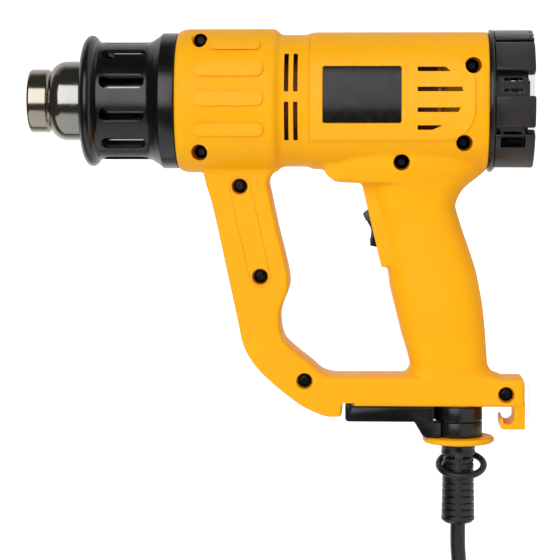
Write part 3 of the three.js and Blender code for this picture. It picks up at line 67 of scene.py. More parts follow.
# A reach past the skin on either side, and the clearance between pieces that fit together
BEYOND = 60
GAP = 0.3

# Housing: rings of the head as heights and radii
HEAD_POWER = 2.25
HEAD_REAR_Z = 22.9
HEAD_FRONT_Z = 181.5
REAR_RADIUS = 35.2
WAIST_RADIUS = 33.9
FRONT_RADIUS = 36.9
SHOULDER_LENGTH = 6.3
SHOULDER_DROP = 2.5
HEAD_RINGS = [(HEAD_REAR_Z, REAR_RADIUS), (112, REAR_RADIUS), (115.6, WAIST_RADIUS),
              (128.4, WAIST_RADIUS), (131.4, FRONT_RADIUS), (175.2, FRONT_RADIUS)]

# Housing: rings of the neck and grip as drop, front height, rear height and half width
HANDLE_POWER = 2.6
FRAME_DROP = 157
GRIP_FRONT = 109.7
GRIP_HALF = 24
HOLLOW_FRONT = 0.771 * GRIP_FRONT
HANDLE_RINGS = [
    (FRAME_DROP * drop, GRIP_FRONT * front, GRIP_FRONT * rear, GRIP_HALF * half)
    for drop, front, rear, half in (
        (0.096, 0.985, 0.213, 1), (0.21, 0.985, 0.213, 1), (0.227, 0.972, 0.215, 0.98),
        (0.245, 0.958, 0.242, 0.94), (0.265, 0.92, 0.28, 0.875), (0.268, 0.771, 0.286, 0.86),
        (0.287, 0.762, 0.317, 0.817), (0.312, 0.751, 0.341, 0.783), (0.344, 0.738, 0.356, 0.75),
        (0.382, 0.725, 0.339, 0.725), (0.42, 0.711, 0.322, 0.708), (0.497, 0.686, 0.283, 0.708),
        (0.56, 0.67, 0.254, 0.717), (0.611, 0.662, 0.239, 0.725), (0.669, 0.64, 0.224, 0.725),
        (0.752, 0.611, 0.211, 0.708), (0.828, 0.578, 0.203, 0.675), (0.866, 0.564, 0.199, 0.65),
        (0.889, 0.579, 0.182, 0.63), (0.899, 0.611, 0.138, 0.605), (0.955, 0.611, 0.138, 0.58))]

# Housing: the strut's two edges, the bar and the foot, as heights and drops
STRUT_FRONT = 168.5
OUTER_INSET = 0.8
INNER_INSET = 0.4
HEEL_INSET = 0.6
HEEL_SHARE = 0.8
STRUT_OUTER = [
    (STRUT_FRONT * z - OUTER_INSET, FRAME_DROP * drop - HEEL_INSET * (drop > HEEL_SHARE))
    for z, drop in (
        (1.014, 0.13), (1, 0.2535), (0.978, 0.333), (0.941, 0.5115), (0.901, 0.71), (0.8825, 0.8),
        (0.861, 0.85), (0.824, 0.899), (0.753, 0.9655), (0.697, 1.008), (0.645, 1.033),
        (0.62, 1.04))]
STRUT_INNER = [
    (STRUT_FRONT * z + INNER_INSET, FRAME_DROP * drop) for z, drop in (
        (0.6, 0.902), (0.633, 0.891), (0.669, 0.859), (0.744, 0.7915), (0.757, 0.766),
        (0.764, 0.704), (0.756, 0.6675), (0.738, 0.618), (0.735, 0.588), (0.744, 0.532),
        (0.7715, 0.412), (0.795, 0.293), (0.8, 0.268), (0.795, 0.248), (0.781, 0.232),
        (0.762, 0.221), (0.744, 0.2), (0.744, 0.13))]
FRAME_HALF = 14.5
FRAME_EDGE = 4.6
BAR_TOP = 141.2
FOOT_TOP = 142.6
FOOT_END = [(3, FRAME_DROP), (3, FOOT_TOP + 2.6), (3.3, FOOT_TOP + 0.9), (4.2, FOOT_TOP)]
BAR_STEP = [(15, FOOT_TOP), (19.5, BAR_TOP)]
HEEL = (97, 162.6)

# Housing: the lumps on the neck, the cord hook, and the rooms inside, as corners or outlines
SWITCH_PLACE = Matrix.Translation((-65.4, 0, 81.6)) @ Matrix.Rotation(math.radians(-13.3), 4, "Y")
BEZEL = ((-21, -11.5, -12), (27, 11.5, 0))
SWITCH_WELL = ((-10.6, -7.5, -14), (10.6, 7.5, 5))
SWITCH_ROOM = ((-12.5, -9.3, -24.3), (12.5, 9.3, -2.6))
BULGE = [(-26, 106, 0), (-36, 106, 2), (-40.8, 101.8, 3.5), (-40.8, 84, 1), (-26, 79, 0)]
BULGE_HALF = 17.5
BULGE_EDGE = 4
HOOK = [(-154.5, 2.8, 0), (-168.6, 2.8, 0.5), (-168.6, 14.2, 0.6), (-167.4, 15.6, 0.6),
        (-162.9, 15.6, 0.6), (-162.9, 14.2, 0.5), (-165.4, 13.6, 0.8), (-165.9, 12, 0.8),
        (-165.9, 10.2, 1.2), (-164.2, 8.4, 1), (-154.5, 8.4, 0)]
HOOK_HALF = 13
HOOK_EDGE = 0.5
FLANGE_ROOM = ((-154.4, -11.9, 20), (-143.8, 11.9, 56))
TUBE_RADIUS = 9.4
TUBE_BORE = TUBE_RADIUS + GAP
TIP_POCKET_HEIGHT = 6.6
TIP_POCKET_DEPTH = 1.8
GUARD_NECK = 29.9
GUARD_SEAT_Z = (HEAD_FRONT_Z - 6, HEAD_FRONT_Z + 5)
DUCT_RADIUS = 32.8
DUCT_Z = (46, 137)
FINGER_GUARD_Y = (22, 23.2)
FINGER_GUARD_Z = (26.4, 46.4)
SEAM = 0.12

# Housing: details on the skin. A bar is its middle, width and two heights, an upright slot its
# height and two ends, and a slot along the barrel its middle and its two slanting rear corners.
PANEL_X = (-19.8, 22.8)
PANEL_Z = (30.5, 113)
PANEL = [(PANEL_X[0], PANEL_Z[0], 15), (PANEL_X[1], PANEL_Z[0], 15),
         (PANEL_X[1], PANEL_Z[1], 1), (PANEL_X[0], PANEL_Z[1], 1)]
PANEL_RISE = 0.9
PANEL_SLOPE = 0.35
BARS = [(28.2, 4.6, 138.6, 163), (16.3, 7.6, 136.8, 171.2), (1, 6.8, 136.8, 171.2),
        (-14.5, 6.2, 136.8, 171.2)]
BAR_RISE = 1.0
BAR_SLOPE = 0.5
BAR_ROUND = 0.45
LINE_X = (-21, 31.7)
LINE_Z = (113.2, 113.6)
LINE_DEPTH = 0.45
LABEL_X = (-11.3, 17.4)
LABEL_Z = (67, 106.7)
LABEL_ROUND = 1.2
PLATE_ROUND = 1
PLATE_STEP = 0.25
PLATE_EDGE = 0.15
SLOT_WIDTH = 2.3
SLOT_ROUND = 0.4
SLANT_ROUND = 0.2
UPRIGHT_SLOTS = [(z, low, high) for z in (124.9, 120.3)
                 for low, high in ((4.6, 23.6), (-19.9, -0.5))]
UPRIGHT_SLOT_ROOT = 18
LENGTH_SLOTS = [(15.8, 42.5, 45.1), (5.8, 36.5, 36.9), (-4.5, 38.9, 37.5), (-13.4, 51.5, 46.3)]
LENGTH_SLOT_FRONT = 59.1
LENGTH_SLOT_ROOT = 26

# Housing: its screws as drops and heights. The first sits in a notch that is open towards +x.
SCREWS = [(-30.5, 169.2), (26.1, 169.2), (43.7, 149.5), (90.1, 139), (143.9, 116.2),
          (-17.7, 31.2), (21.2, 35.4), (31.1, 66.8), (150.5, 12.6)]
SLEEVED = (0, 1, 5, 6, 7)
BESIDE_DUCT = 7
SLEEVE_RADIUS = 5.4
SLEEVE_END_Y = -8
SCREW_SEAT_Y = -10
NOTCH_SEAT_Y = -12
NOTCH_FLOOR_Y = -17
NOTCH_RADIUS = 3.65
NOTCH_STEP = 0.5
CHAMFER_OUT = 1.1
CHAMFER_IN = 0.4
CHAMFER_HALF = 0.75
TONGUE_SCREWS = (2, 3)
TONGUE_RADIUS = 5.4
GROOVE_WIDTH = 0.36
GROOVE_DEPTH = 0.5

# Cord: its route from the boot, the coil, and the bend over the coil into the plug
CORD_Z = 36.5
CORD_EXIT = (-219.86, 0, CORD_Z)
LEAD_ROUTE = [
    (0, 0, 0), (-7, 0, 0), (-14, 0, -0.2), (-24, -0.8, -1.4), (-34, -3.2, -5), (-43, -7.2, -10.6),
    (-51, -12.4, -16.8), (-58.5, -19, -22.9), (-65, -25.6, -27.7), (-71, -31.7, -30.6),
    (-76.7, -37.4, -31.5), (-78.8, -39.5, -31.5)]
COIL_INNER = 30.6
COIL_PITCH = 8.6
COIL_LAYERS = 4
LAYER_TURNS = 2.29
COIL_TURNS = COIL_LAYERS * LAYER_TURNS
COIL_START = math.radians(-45)
COIL_LAYER_Z = 5
COIL_LAYER_RISE = 8.3
COIL_BLEND = 0.25
COIL_STEPS = 40
COIL_TOP = 33.8
TAIL_BEND = 33
TAIL_TURNED = math.radians(130)
TAIL_SHARES = [
    (0, 0), (0.02, 0), (0.09, 0.05), (0.18, 0.2), (0.29, 0.42), (0.41, 0.66), (0.53, 0.85),
    (0.65, 0.95), (0.77, 0.99), (0.88, 1), (0.98, 1), (1, 1)]
TIE_TURN = math.radians(25)
PLUG_Z = 42.6


class HeatGunSizes(bpy.types.PropertyGroup):
    """Sizes that a maker would change"""

    wall: FloatProperty(
        name="Wall", description="Thickness of the housing's wall", default=0.0026, unit="LENGTH")
    fineness: FloatProperty(
        name="Fineness", description="Grain of the housing's mesh", default=0.00085, unit="LENGTH")
    softness: IntProperty(
        name="Softness", description="Passes that round the housing's corners", default=6)
    recess_radius: FloatProperty(
        name="Screw recess", description="Radius of a screw's recess", default=0.00415,
        unit="LENGTH")
    screw_radius: FloatProperty(
        name="Screw head", description="Radius of a screw's head", default=0.0035, unit="LENGTH")
    guard_radius: FloatProperty(
        name="Guard", description="Radius of the nozzle guard's body", default=0.0302,
        unit="LENGTH")
    nozzle_radius: FloatProperty(
        name="Nozzle", description="Radius of the nozzle tube", default=0.0205, unit="LENGTH")
    cap_radius: FloatProperty(
        name="Rear cap", description="Radius over the rear cap's lobes", default=0.0362,
        unit="LENGTH")
    cord_radius: FloatProperty(
        name="Cord", description="Radius of the power cord", default=0.0039, unit="LENGTH")
    boot_radius: FloatProperty(
        name="Strain relief", description="Radius of the strain relief's ribs", default=0.0084,
        unit="LENGTH")


class HeatGunColours(bpy.types.PropertyGroup):
    """Colours that a maker would change"""

    yellow: FloatVectorProperty(
        name="Yellow", description="Moulded housing", subtype="COLOR", size=4,
        default=(0.98, 0.465, 0.004, 1))
    black: FloatVectorProperty(
        name="Black", description="Moulded black plastic", subtype="COLOR", size=4,
        default=(0.002, 0.002, 0.0022, 1))
    rubber: FloatVectorProperty(
        name="Rubber", description="Cord, boot and hanging ring", subtype="COLOR", size=4,
        default=(0.003, 0.003, 0.0033, 1))
    label: FloatVectorProperty(
        name="Label", description="Blank label plate", subtype="COLOR", size=4,
        default=(0.0035, 0.0037, 0.0042, 1))
    steel: FloatVectorProperty(
        name="Steel", description="Nozzle tube", subtype="COLOR", size=4,
        default=(0.27, 0.266, 0.252, 1))
    backdrop: FloatVectorProperty(
        name="Backdrop", description="Floor and backdrop", subtype="COLOR", size=4,
        default=(0.9, 0.9, 0.9, 1))


# ---------------------------------------------------------------- forms

def oval(turn, power):
    """A point of a unit ring whose sides are flatter than a circle's."""
    def bend(value):
        return math.copysign(abs(value) ** (2 / power), value)
    return Vector((bend(math.cos(turn)), bend(math.sin(turn)), 0))


def lofted(stations, place, power=2, sides=72):
    """A closed form: a ring at the first station, extruded to each of the others."""
    bm = bmesh.new()
    unit = bm.verts.layers.float_vector.new("unit")
    bmesh.ops.create_circle(bm, cap_ends=False, radius=1, segments=sides)
    for vert in bm.verts:
        vert[unit] = oval(math.atan2(vert.co.y, vert.co.x), power)
        vert.co = place(vert[unit], stations[0])
    ring = bm.edges[:]
    bmesh.ops.contextual_create(bm, geom=ring)
    for station in stations[1:]:
        grown = bmesh.ops.extrude_edge_only(bm, edges=ring)["geom"]
        fresh = {item for item in grown if isinstance(item, bmesh.types.BMVert)}
        for vert in fresh:
            vert.co = place(vert[unit], station)
        ring = [item for item in grown if isinstance(item, bmesh.types.BMEdge)
                and item.verts[0] in fresh and item.verts[1] in fresh]
    bmesh.ops.contextual_create(bm, geom=ring)
    bm.verts.layers.float_vector.remove(unit)
    bmesh.ops.recalc_face_normals(bm, faces=bm.faces)
    return bm


def softened(corners, steps=4):
    """A closed flat outline whose corners, given as (a, b, radius), are rounded off."""
    points = []
    for index, (a, b, radius) in enumerate(corners):
        here = Vector((a, b))
        back = Vector(corners[index - 1][:2]) - here
        ahead = Vector(corners[(index + 1) % len(corners)][:2]) - here
        if radius <= 0:
            points.append(here)
            continue
        half = back.angle(ahead) / 2
        reach = min(radius / math.tan(half), 0.49 * back.length, 0.49 * ahead.length)
        inward = (back.normalized() + ahead.normalized()).normalized()
        centre = here + inward * reach / math.cos(half)
        start = here + back.normalized() * reach - centre
        end = here + ahead.normalized() * reach - centre
        first = math.atan2(start.y, start.x)
        swing = (math.atan2(end.y, end.x) - first + math.pi) % (2 * math.pi) - math.pi
        points += [centre + start.length * Vector((math.cos(first + swing * k / steps),
                                                   math.sin(first + swing * k / steps)))
                   for k in range(steps + 1)]
    return points


def through(points, per_span):
    """Points of a smooth curve through the given ones, its speed set by the root of each span."""
    known = [Vector(point) for point in points]
    known = [2 * known[0] - known[1]] + known + [2 * known[-1] - known[-2]]
    line = []
    for i in range(1, len(known) - 2):
        a, b, c, d = known[i - 1:i + 3]
        ta = 0
        tb = ta + (b - a).length ** 0.5
        tc = tb + (c - b).length ** 0.5
        td = tc + (d - c).length ** 0.5
        for k in range(per_span):
            t = tb + (tc - tb) * k / per_span
            ab = a.lerp(b, (t - ta) / (tb - ta))
            bc = b.lerp(c, (t - tb) / (tc - tb))
            cd = c.lerp(d, (t - tc) / (td - tc))
            line.append(ab.lerp(bc, (t - ta) / (tc - ta)).lerp(
                bc.lerp(cd, (t - tb) / (td - tb)), (t - tb) / (tc - tb)))
    return line + [known[-2]]


def arc(centre, radii, start, end, steps):
    """Points of an arc between two turns in radians. Its two radii may differ."""
    turns = [start + (end - start) * k / steps for k in range(steps + 1)]
    return [(centre[0] + radii[0] * math.cos(turn), centre[1] + radii[1] * math.sin(turn))
            for turn in turns]


def box_outline(x_range, z_range, radius):
    """A flat box whose four corners are to be rounded alike."""
    (x0, x1), (z0, z1) = x_range, z_range
    return [(x0, z0, radius), (x1, z0, radius), (x1, z1, radius), (x0, z1, radius)]


def moved(bm, matrix):
    """A form set in place."""
    bmesh.ops.transform(bm, matrix=matrix, verts=bm.verts)
    return bm


def bevelled(bm, edges, width, segments):
    """A form with some of its edges rounded off."""
    bmesh.ops.bevel(bm, geom=edges, offset=width, offset_type="OFFSET", affect="EDGES",
                    segments=segments, profile=0.5, material=-1, clamp_overlap=True)
    return bm


def level_edges(bm, axis):
    """The edges whose two ends are equally far along an axis."""
    return [edge for edge in bm.edges
            if abs(edge.verts[0].co[axis] - edge.verts[1].co[axis]) < 1e-6]


def thickened(bm, shift):
    """Gives a flat form a thickness, and returns the vertices of its far side."""
    grown = bmesh.ops.extrude_face_region(bm, geom=bm.faces[:])["geom"]
    fresh = [item for item in grown if isinstance(item, bmesh.types.BMVert)]
    bmesh.ops.translate(bm, vec=shift, verts=fresh)
    bmesh.ops.recalc_face_normals(bm, faces=bm.faces)
    return fresh


def slab(outline, low, high, turn=Matrix(), edge=0.0, segments=3):
    """A flat outline of (a, b) points given a thickness, then turned into place.

    The outline lies in the xz plane and the thickness runs along y.
    """
    bm = bmesh.new()
    bm.faces.new([bm.verts.new((a, low, b)) for a, b in outline])
    thickened(bm, (0, high - low, 0))
    if edge:
        bevelled(bm, level_edges(bm, 1), edge, segments)
    return moved(bm, turn)


def block(low, high, turn=Matrix(), edge=0.0, segments=3):
    """A box between two corners, with rounded edges where asked, turned into place."""
    bm = bmesh.new()
    bmesh.ops.create_cube(bm, size=1)
    low, high = Vector(low), Vector(high)
    bmesh.ops.scale(bm, vec=high - low, verts=bm.verts)
    bmesh.ops.translate(bm, vec=(low + high) / 2, verts=bm.verts)
    if edge:
        bevelled(bm, bm.edges[:], edge, segments)
    return moved(bm, turn)


def waved(radius_at, segments, z, height):
    """A disc with a height of its own, whose radius follows the turn in radians."""
    bm = bmesh.new()
    bmesh.ops.create_circle(bm, cap_ends=True, radius=1, segments=segments)
    for vert in bm.verts:
        vert.co *= radius_at(math.atan2(vert.co.y, vert.co.x))
        vert.co.z = z
    thickened(bm, (0, 0, height))
    return bm


# Turns that leave a form along the barrel, set it along the cord's way out, or lay it down
ALONG_Z = Matrix()
ALONG_CORD = (Matrix.Translation((0, 0, CORD_Z))
              @ Matrix(((0, 0, -1, 0), (0, 1, 0, 0), (1, 0, 0, 0), (0, 0, 0, 1))))
LAID_FLAT = Matrix.Rotation(math.pi / 2, 4, "X")


def around_z(turn):
    return Matrix.Rotation(turn, 4, "Z")


def spun(profile, steps=96, turn=ALONG_Z, closed=True):
    """A profile of (radius, height) points turned once about its axis, then set in place."""
    bm = bmesh.new()
    verts = [bm.verts.new((radius, 0, height)) for radius, height in profile]
    ends = verts[1:] + verts[:1] if closed else verts[1:]
    edges = [bm.edges.new(pair) for pair in zip(verts, ends)]
    bmesh.ops.spin(bm, geom=verts + edges, cent=(0, 0, 0), axis=(0, 0, 1), steps=steps,
                   angle=2 * math.pi, use_merge=True)
    bmesh.ops.remove_doubles(bm, verts=bm.verts, dist=1e-4)
    moved(bm, turn)
    bmesh.ops.recalc_face_normals(bm, faces=bm.faces)
    return bm


def cone(radius_low, radius_high, start, end, sides=32):
    """A round rod between two points, whose two ends have their own radii."""
    start, end = Vector(start), Vector(end)
    bm = bmesh.new()
    bmesh.ops.create_cone(bm, cap_ends=True, segments=sides, radius1=radius_low,
                          radius2=radius_high, depth=(end - start).length)
    aim = (end - start).to_track_quat("Z", "Y").to_matrix().to_4x4()
    return moved(bm, Matrix.Translation((start + end) / 2) @ aim)


def rod(radius, start, end, sides=32):
    """A round rod between two points."""
    return cone(radius, radius, start, end, sides)


def upright(radius, low, high, sides=32, x=0, y=0):
    """A round rod along the barrel, between two heights."""
    return rod(radius, (x, y, low), (x, y, high), sides)


def wire(points, radius, sides):
    """A round wire along points, as one unbroken tube with flat ends."""
    points = [Vector(point) for point in points]
    spans = [(b - a).normalized() for a, b in zip(points, points[1:])]
    bends = [(a + b).normalized() for a, b in zip(spans, spans[1:])]
    side = spans[0].orthogonal().normalized()
    stations = []
    for point, heading in zip(points, [spans[0]] + bends + [spans[-1]]):
        side = (side - heading * side.dot(heading)).normalized()
        stations.append((point, side, heading.cross(side)))

    def place(unit, station):
        middle, across, up = station
        return middle + radius * (across * unit.x + up * unit.y)
    return lofted(stations, place, 2, sides)


def mesh_from(bm, name="form"):
    """A mesh that takes a form over."""
    mesh = bpy.data.meshes.new(name)
    bm.to_mesh(mesh)
    bm.free()
    return mesh


def linked(name, data):
    """An object in the scene for a mesh, a curve, a lamp or a camera."""
    item = bpy.data.objects.new(name, data)
    bpy.context.scene.collection.objects.link(item)
    return item


def loose(bm):
    """An object that holds a form for as long as the modifiers need it."""
    return linked("form", mesh_from(bm))


def taken(piece, *used):
    """The form that a loose object's modifiers give. The objects are removed."""
    graph = bpy.context.evaluated_depsgraph_get()
    mesh = bpy.data.meshes.new_from_object(piece.evaluated_get(graph))
    bm = bmesh.new()
    bm.from_mesh(mesh)
    bpy.data.meshes.remove(mesh)
    for item in (piece, *used):
        old = item.data
        bpy.data.objects.remove(item)
        bpy.data.meshes.remove(old)
    return bm


def worked(bm, *steps):
    """A form after each (operation, other form) in turn. The other forms are used up."""
    if not steps:
        return bm
    base = loose(bm)
    others = []
    for operation, other in steps:
        others.append(loose(other))
        step = base.modifiers.new(operation, "BOOLEAN")
        step.operation = operation
        step.solver = "MANIFOLD"
        step.object = others[-1]
    return taken(base, *others)


def fused(bm, others):
    return worked(bm, *[("UNION", other) for other in others])


def cut(bm, others):
    return worked(bm, *[("DIFFERENCE", other) for other in others])


def kept_in(bm, other):
    return worked(bm, ("INTERSECT", other))


def together(forms):
    """Several forms in one, still overlapping."""
    bm = bmesh.new()
    for form in forms:
        mesh = mesh_from(form)
        bm.from_mesh(mesh)
        bpy.data.meshes.remove(mesh)
    return bm


def melted(forms, grain, passes):
    """Overlapping forms run together, with their corners rounded off."""
    piece = loose(together(forms))
    step = piece.modifiers.new("grain", "REMESH")
    step.mode = "VOXEL"
    step.voxel_size = grain
    bm = taken(piece)
    for _ in range(passes):
        bmesh.ops.smooth_vert(bm, verts=bm.verts, factor=0.5, use_axis_x=True, use_axis_y=True,
                              use_axis_z=True)
    return bm


def finished(bm, name, material, slot, body, *nodes, sharp=35):
    """A piece from a form in tool millimetres, riding on a body and standing for CAD nodes."""
    moved(bm, TO_ROW)
    bmesh.ops.dissolve_degenerate(bm, dist=1e-7, edges=bm.edges)
    mesh = mesh_from(bm, name)
    mesh.shade_smooth()
    mesh.set_sharp_from_angle(angle=math.radians(sharp))
    mesh.materials.append(material)
    piece = linked(name, mesh)
    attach(piece, body)
    if nodes:
        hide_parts(*nodes)
    return piece


# ---------------------------------------------------------------- finishes

# How large the lumps of each pattern are, in metres
DRIFT = 0.03
FLECK = 0.0009
HANDLED = 0.011
GRAIN = 0.00035
EDGE_PATCHES = 0.004
RING = 0.0004
HEAT_CLOUD = 0.012
SMEAR = 0.006

FLECK_SHARE = 0.25
RING_SHARE = 0.5
WHITE = (1, 1, 1, 1)
SKIN_OUTS = (("Colour", "NodeSocketColor"), ("Roughness", "NodeSocketFloat"),
             ("Height", "NodeSocketFloat"))


def put(tree, value, socket):
    """Feeds a socket from another socket, or sets it to a plain value."""
    if isinstance(value, bpy.types.NodeSocket):
        tree.links.new(value, socket)
    else:
        socket.default_value = value


def group_tree(name, ins, outs):
    """A shader node group with named sockets, and its two ends."""
    tree = bpy.data.node_groups.new(name, "ShaderNodeTree")
    for label, kind, value in ins:
        socket = tree.interface.new_socket(name=label, in_out="INPUT", socket_type=kind)
        if value is not None:
            socket.default_value = value
    for label, kind in outs:
        tree.interface.new_socket(name=label, in_out="OUTPUT", socket_type=kind)
    return tree, tree.nodes.new("NodeGroupInput"), tree.nodes.new("NodeGroupOutput")


def noise(tree, place, size, detail=3, rough=0.55):
    """A noise whose lumps are about as large as size, in metres."""
    node = tree.nodes.new("ShaderNodeTexNoise")
    node.inputs["Scale"].default_value = 1 / size
    node.inputs["Detail"].default_value = detail
    node.inputs["Roughness"].default_value = rough
    tree.links.new(place, node.inputs["Vector"])
    return node.outputs["Fac"]


def reckoned(tree, operation, a, b=None, c=None, clamp=False):
    """A Math node over sockets or plain numbers."""
    node = tree.nodes.new("ShaderNodeMath")
    node.operation = operation
    node.use_clamp = clamp
    for socket, value in zip(node.inputs, (a, b, c)):
        if value is not None:
            put(tree, value, socket)
    return node.outputs[0]


def ranged(tree, value, low, high, to_low, to_high):
    """A value moved from one range to another, and held inside it."""
    node = tree.nodes.new("ShaderNodeMapRange")
    tree.links.new(value, node.inputs["Value"])
    for label, number in (("From Min", low), ("From Max", high), ("To Min", to_low),
                          ("To Max", to_high)):
        put(tree, number, node.inputs[label])
    return node.outputs["Result"]


def blended(tree, factor, a, b):
    """Two colours mixed by a factor."""
    node = tree.nodes.new("ShaderNodeMix")
    node.data_type = "RGBA"
    for socket, value in ((node.inputs[0], factor), (node.inputs[6], a), (node.inputs[7], b)):
        put(tree, value, socket)
    return node.outputs[2]


def moulded_skin():
    """Moulded plastic or rubber: drifting colour, handled patches and a fine grain."""
    tree, ins, outs = group_tree("Moulded skin", [
        ("Place", "NodeSocketVector", None), ("Colour", "NodeSocketColor", WHITE),
        ("Second colour", "NodeSocketColor", WHITE), ("Least roughness", "NodeSocketFloat", 0.4),
        ("Most roughness", "NodeSocketFloat", 0.5), ("Grain depth", "NodeSocketFloat", 0.5),
    ], SKIN_OUTS)
    place = ins.outputs["Place"]
    drift = ranged(tree, noise(tree, place, DRIFT, 2), 0.3, 0.7, 0, 1)
    fleck = ranged(tree, noise(tree, place, FLECK, 2), 0.35, 0.65, 0, 1)
    patches = ranged(tree, noise(tree, place, HANDLED, 4), 0.35, 0.68, 0, 1)
    both = reckoned(tree, "MULTIPLY_ADD", fleck, FLECK_SHARE,
                    reckoned(tree, "MULTIPLY", drift, 1 - FLECK_SHARE))
    tree.links.new(blended(tree, both, ins.outputs["Colour"], ins.outputs["Second colour"]),
                   outs.inputs["Colour"])
    tree.links.new(ranged(tree, patches, 0, 1, ins.outputs["Least roughness"],
                          ins.outputs["Most roughness"]), outs.inputs["Roughness"])
    tree.links.new(reckoned(tree, "MULTIPLY", noise(tree, place, GRAIN, 1),
                            ins.outputs["Grain depth"]), outs.inputs["Height"])


def edge_wear_and_highlight():
    """A mask, high where a bend stands out: edge wear, and a painted highlight along edges."""
    tree, ins, outs = group_tree("Edge wear and painted highlight", [
        ("Place", "NodeSocketVector", None), ("Amount", "NodeSocketFloat", 0.3),
    ], [("Mask", "NodeSocketFloat")])
    # Pointiness marks the edges that are lightened, partly as wear and partly as a painted
    # highlight
    bends = tree.nodes.new("ShaderNodeNewGeometry")
    mask = ranged(tree, bends.outputs["Pointiness"], 0.505, 0.56, 0, 1)
    broken = ranged(tree, noise(tree, ins.outputs["Place"], EDGE_PATCHES, 4), 0.35, 0.65, 0.3, 1)
    tree.links.new(reckoned(tree, "MULTIPLY", reckoned(tree, "MULTIPLY", mask, broken),
                            ins.outputs["Amount"]), outs.inputs["Mask"])


def turned_metal():
    """Drawn or turned metal: fine rings round the barrel, and a straw tint towards the hot end."""
    tree, ins, outs = group_tree("Turned metal", [
        ("Place", "NodeSocketVector", None), ("Colour", "NodeSocketColor", WHITE),
        ("Heat colour", "NodeSocketColor", WHITE), ("Hot from", "NodeSocketFloat", 10),
        ("Hot to", "NodeSocketFloat", 11), ("Least roughness", "NodeSocketFloat", 0.15),
        ("Most roughness", "NodeSocketFloat", 0.3), ("Ring depth", "NodeSocketFloat", 0.3),
    ], SKIN_OUTS)
    place = ins.outputs["Place"]
    split = tree.nodes.new("ShaderNodeSeparateXYZ")
    tree.links.new(place, split.inputs[0])
    rings = tree.nodes.new("ShaderNodeTexNoise")
    rings.noise_dimensions = "1D"
    rings.inputs["Scale"].default_value = 1 / RING
    rings.inputs["Detail"].default_value = 3
    tree.links.new(split.outputs["Z"], rings.inputs["W"])
    hot = ranged(tree, split.outputs["Z"], ins.outputs["Hot from"], ins.outputs["Hot to"], 0, 1)
    cloud = ranged(tree, noise(tree, place, HEAT_CLOUD, 3), 0.3, 0.7, 0.4, 1)
    tint = reckoned(tree, "MULTIPLY", hot, cloud)
    tree.links.new(blended(tree, tint, ins.outputs["Colour"], ins.outputs["Heat colour"]),
                   outs.inputs["Colour"])
    mixed = reckoned(tree, "MULTIPLY_ADD", rings.outputs["Fac"], RING_SHARE,
                     reckoned(tree, "MULTIPLY", noise(tree, place, SMEAR, 3), 1 - RING_SHARE))
    tree.links.new(ranged(tree, mixed, 0.35, 0.65, ins.outputs["Least roughness"],
                          ins.outputs["Most roughness"]), outs.inputs["Roughness"])
    tree.links.new(reckoned(tree, "MULTIPLY", rings.outputs["Fac"], ins.outputs["Ring depth"]),
                   outs.inputs["Height"])


def placed(tree, name, values):
    """A node group set into a material's tree on Object coordinates, with its own values."""
    place = tree.nodes.get("Place") or tree.nodes.new("ShaderNodeTexCoord")
    place.name = "Place"
    node = tree.nodes.new("ShaderNodeGroup")
    node.node_tree = bpy.data.node_groups[name]
    tree.links.new(place.outputs["Object"], node.inputs["Place"])
    for label, value in values.items():
        node.inputs[label].default_value = value
    return node


def coated(name, skin, depth, values):
    """A new material whose roughness and relief come from a skin.

    Returns its tree, its shader and the skin's colour, which still has to be joined up.
    """
    material = bpy.data.materials.new(name)
    material.use_nodes = True
    tree = material.node_tree
    shader = tree.nodes["Principled BSDF"]
    node = placed(tree, skin, values)
    tree.links.new(node.outputs["Roughness"], shader.inputs["Roughness"])
    bump = tree.nodes.new("ShaderNodeBump")
    bump.inputs["Distance"].default_value = depth
    tree.links.new(node.outputs["Height"], bump.inputs["Height"])
    tree.links.new(bump.outputs["Normal"], shader.inputs["Normal"])
    return tree, shader, node.outputs["Colour"]


def moulding(name, colour, second, roughness, grain, depth, wear_and_highlight=0.0, worn_and_lit_colour=WHITE, gloss=0.5):
    """A material of moulded plastic, rubber, ceramic or card."""
    tree, shader, shown = coated(name, "Moulded skin", depth, {
        "Colour": colour, "Second colour": second, "Least roughness": roughness[0],
        "Most roughness": roughness[1], "Grain depth": grain})
    # Edges are lightened towards a second colour: partly wear, partly a painted highlight.
    if wear_and_highlight:
        edge = placed(tree, "Edge wear and painted highlight", {"Amount": wear_and_highlight})
        shown = blended(tree, edge.outputs["Mask"], shown, worn_and_lit_colour)
    tree.links.new(shown, shader.inputs["Base Color"])
    shader.inputs["Specular IOR Level"].default_value = gloss


def metal(name, colour, heat, hot, roughness, rings, depth):
    """A material of turned, drawn or plated metal."""
    tree, shader, shown = coated(name, "Turned metal", depth, {
        "Colour": colour, "Heat colour": heat, "Hot from": hot[0], "Hot to": hot[1],
        "Least roughness": roughness[0], "Most roughness": roughness[1], "Ring depth": rings})
    tree.links.new(shown, shader.inputs["Base Color"])
    shader.inputs["Metallic"].default_value = 1


def shade(colour, factor):
    return (*(channel * factor for channel in colour[:3]), 1)


# Mouldings of one fixed colour: colour, second colour, least and most roughness, grain, and how
# deep the relief is, in metres
MOULDINGS = {
    # The brown phenolic duct's colour is partly painted shade: it stands for the yellow inside in
    # shade behind the vent slots.
    "Brown phenolic and painted shade": ((0.35, 0.085, 0.02, 1), (0.26, 0.06, 0.015, 1), (0.4, 0.55), 0.6, 0.00005),
    "Ceramic": ((0.72, 0.68, 0.6, 1), (0.6, 0.55, 0.47, 1), (0.75, 0.9), 1, 0.0001),
    "Mica": ((0.4, 0.27, 0.12, 1), (0.28, 0.18, 0.08, 1), (0.25, 0.5), 0.5, 0.00005),
    "Circuit board": ((0.02, 0.12, 0.045, 1), (0.01, 0.08, 0.03, 1), (0.3, 0.45), 0.4, 0.00003),
    "Capacitor": ((0.05, 0.09, 0.3, 1), (0.03, 0.06, 0.22, 1), (0.3, 0.42), 0.3, 0.00002),
}

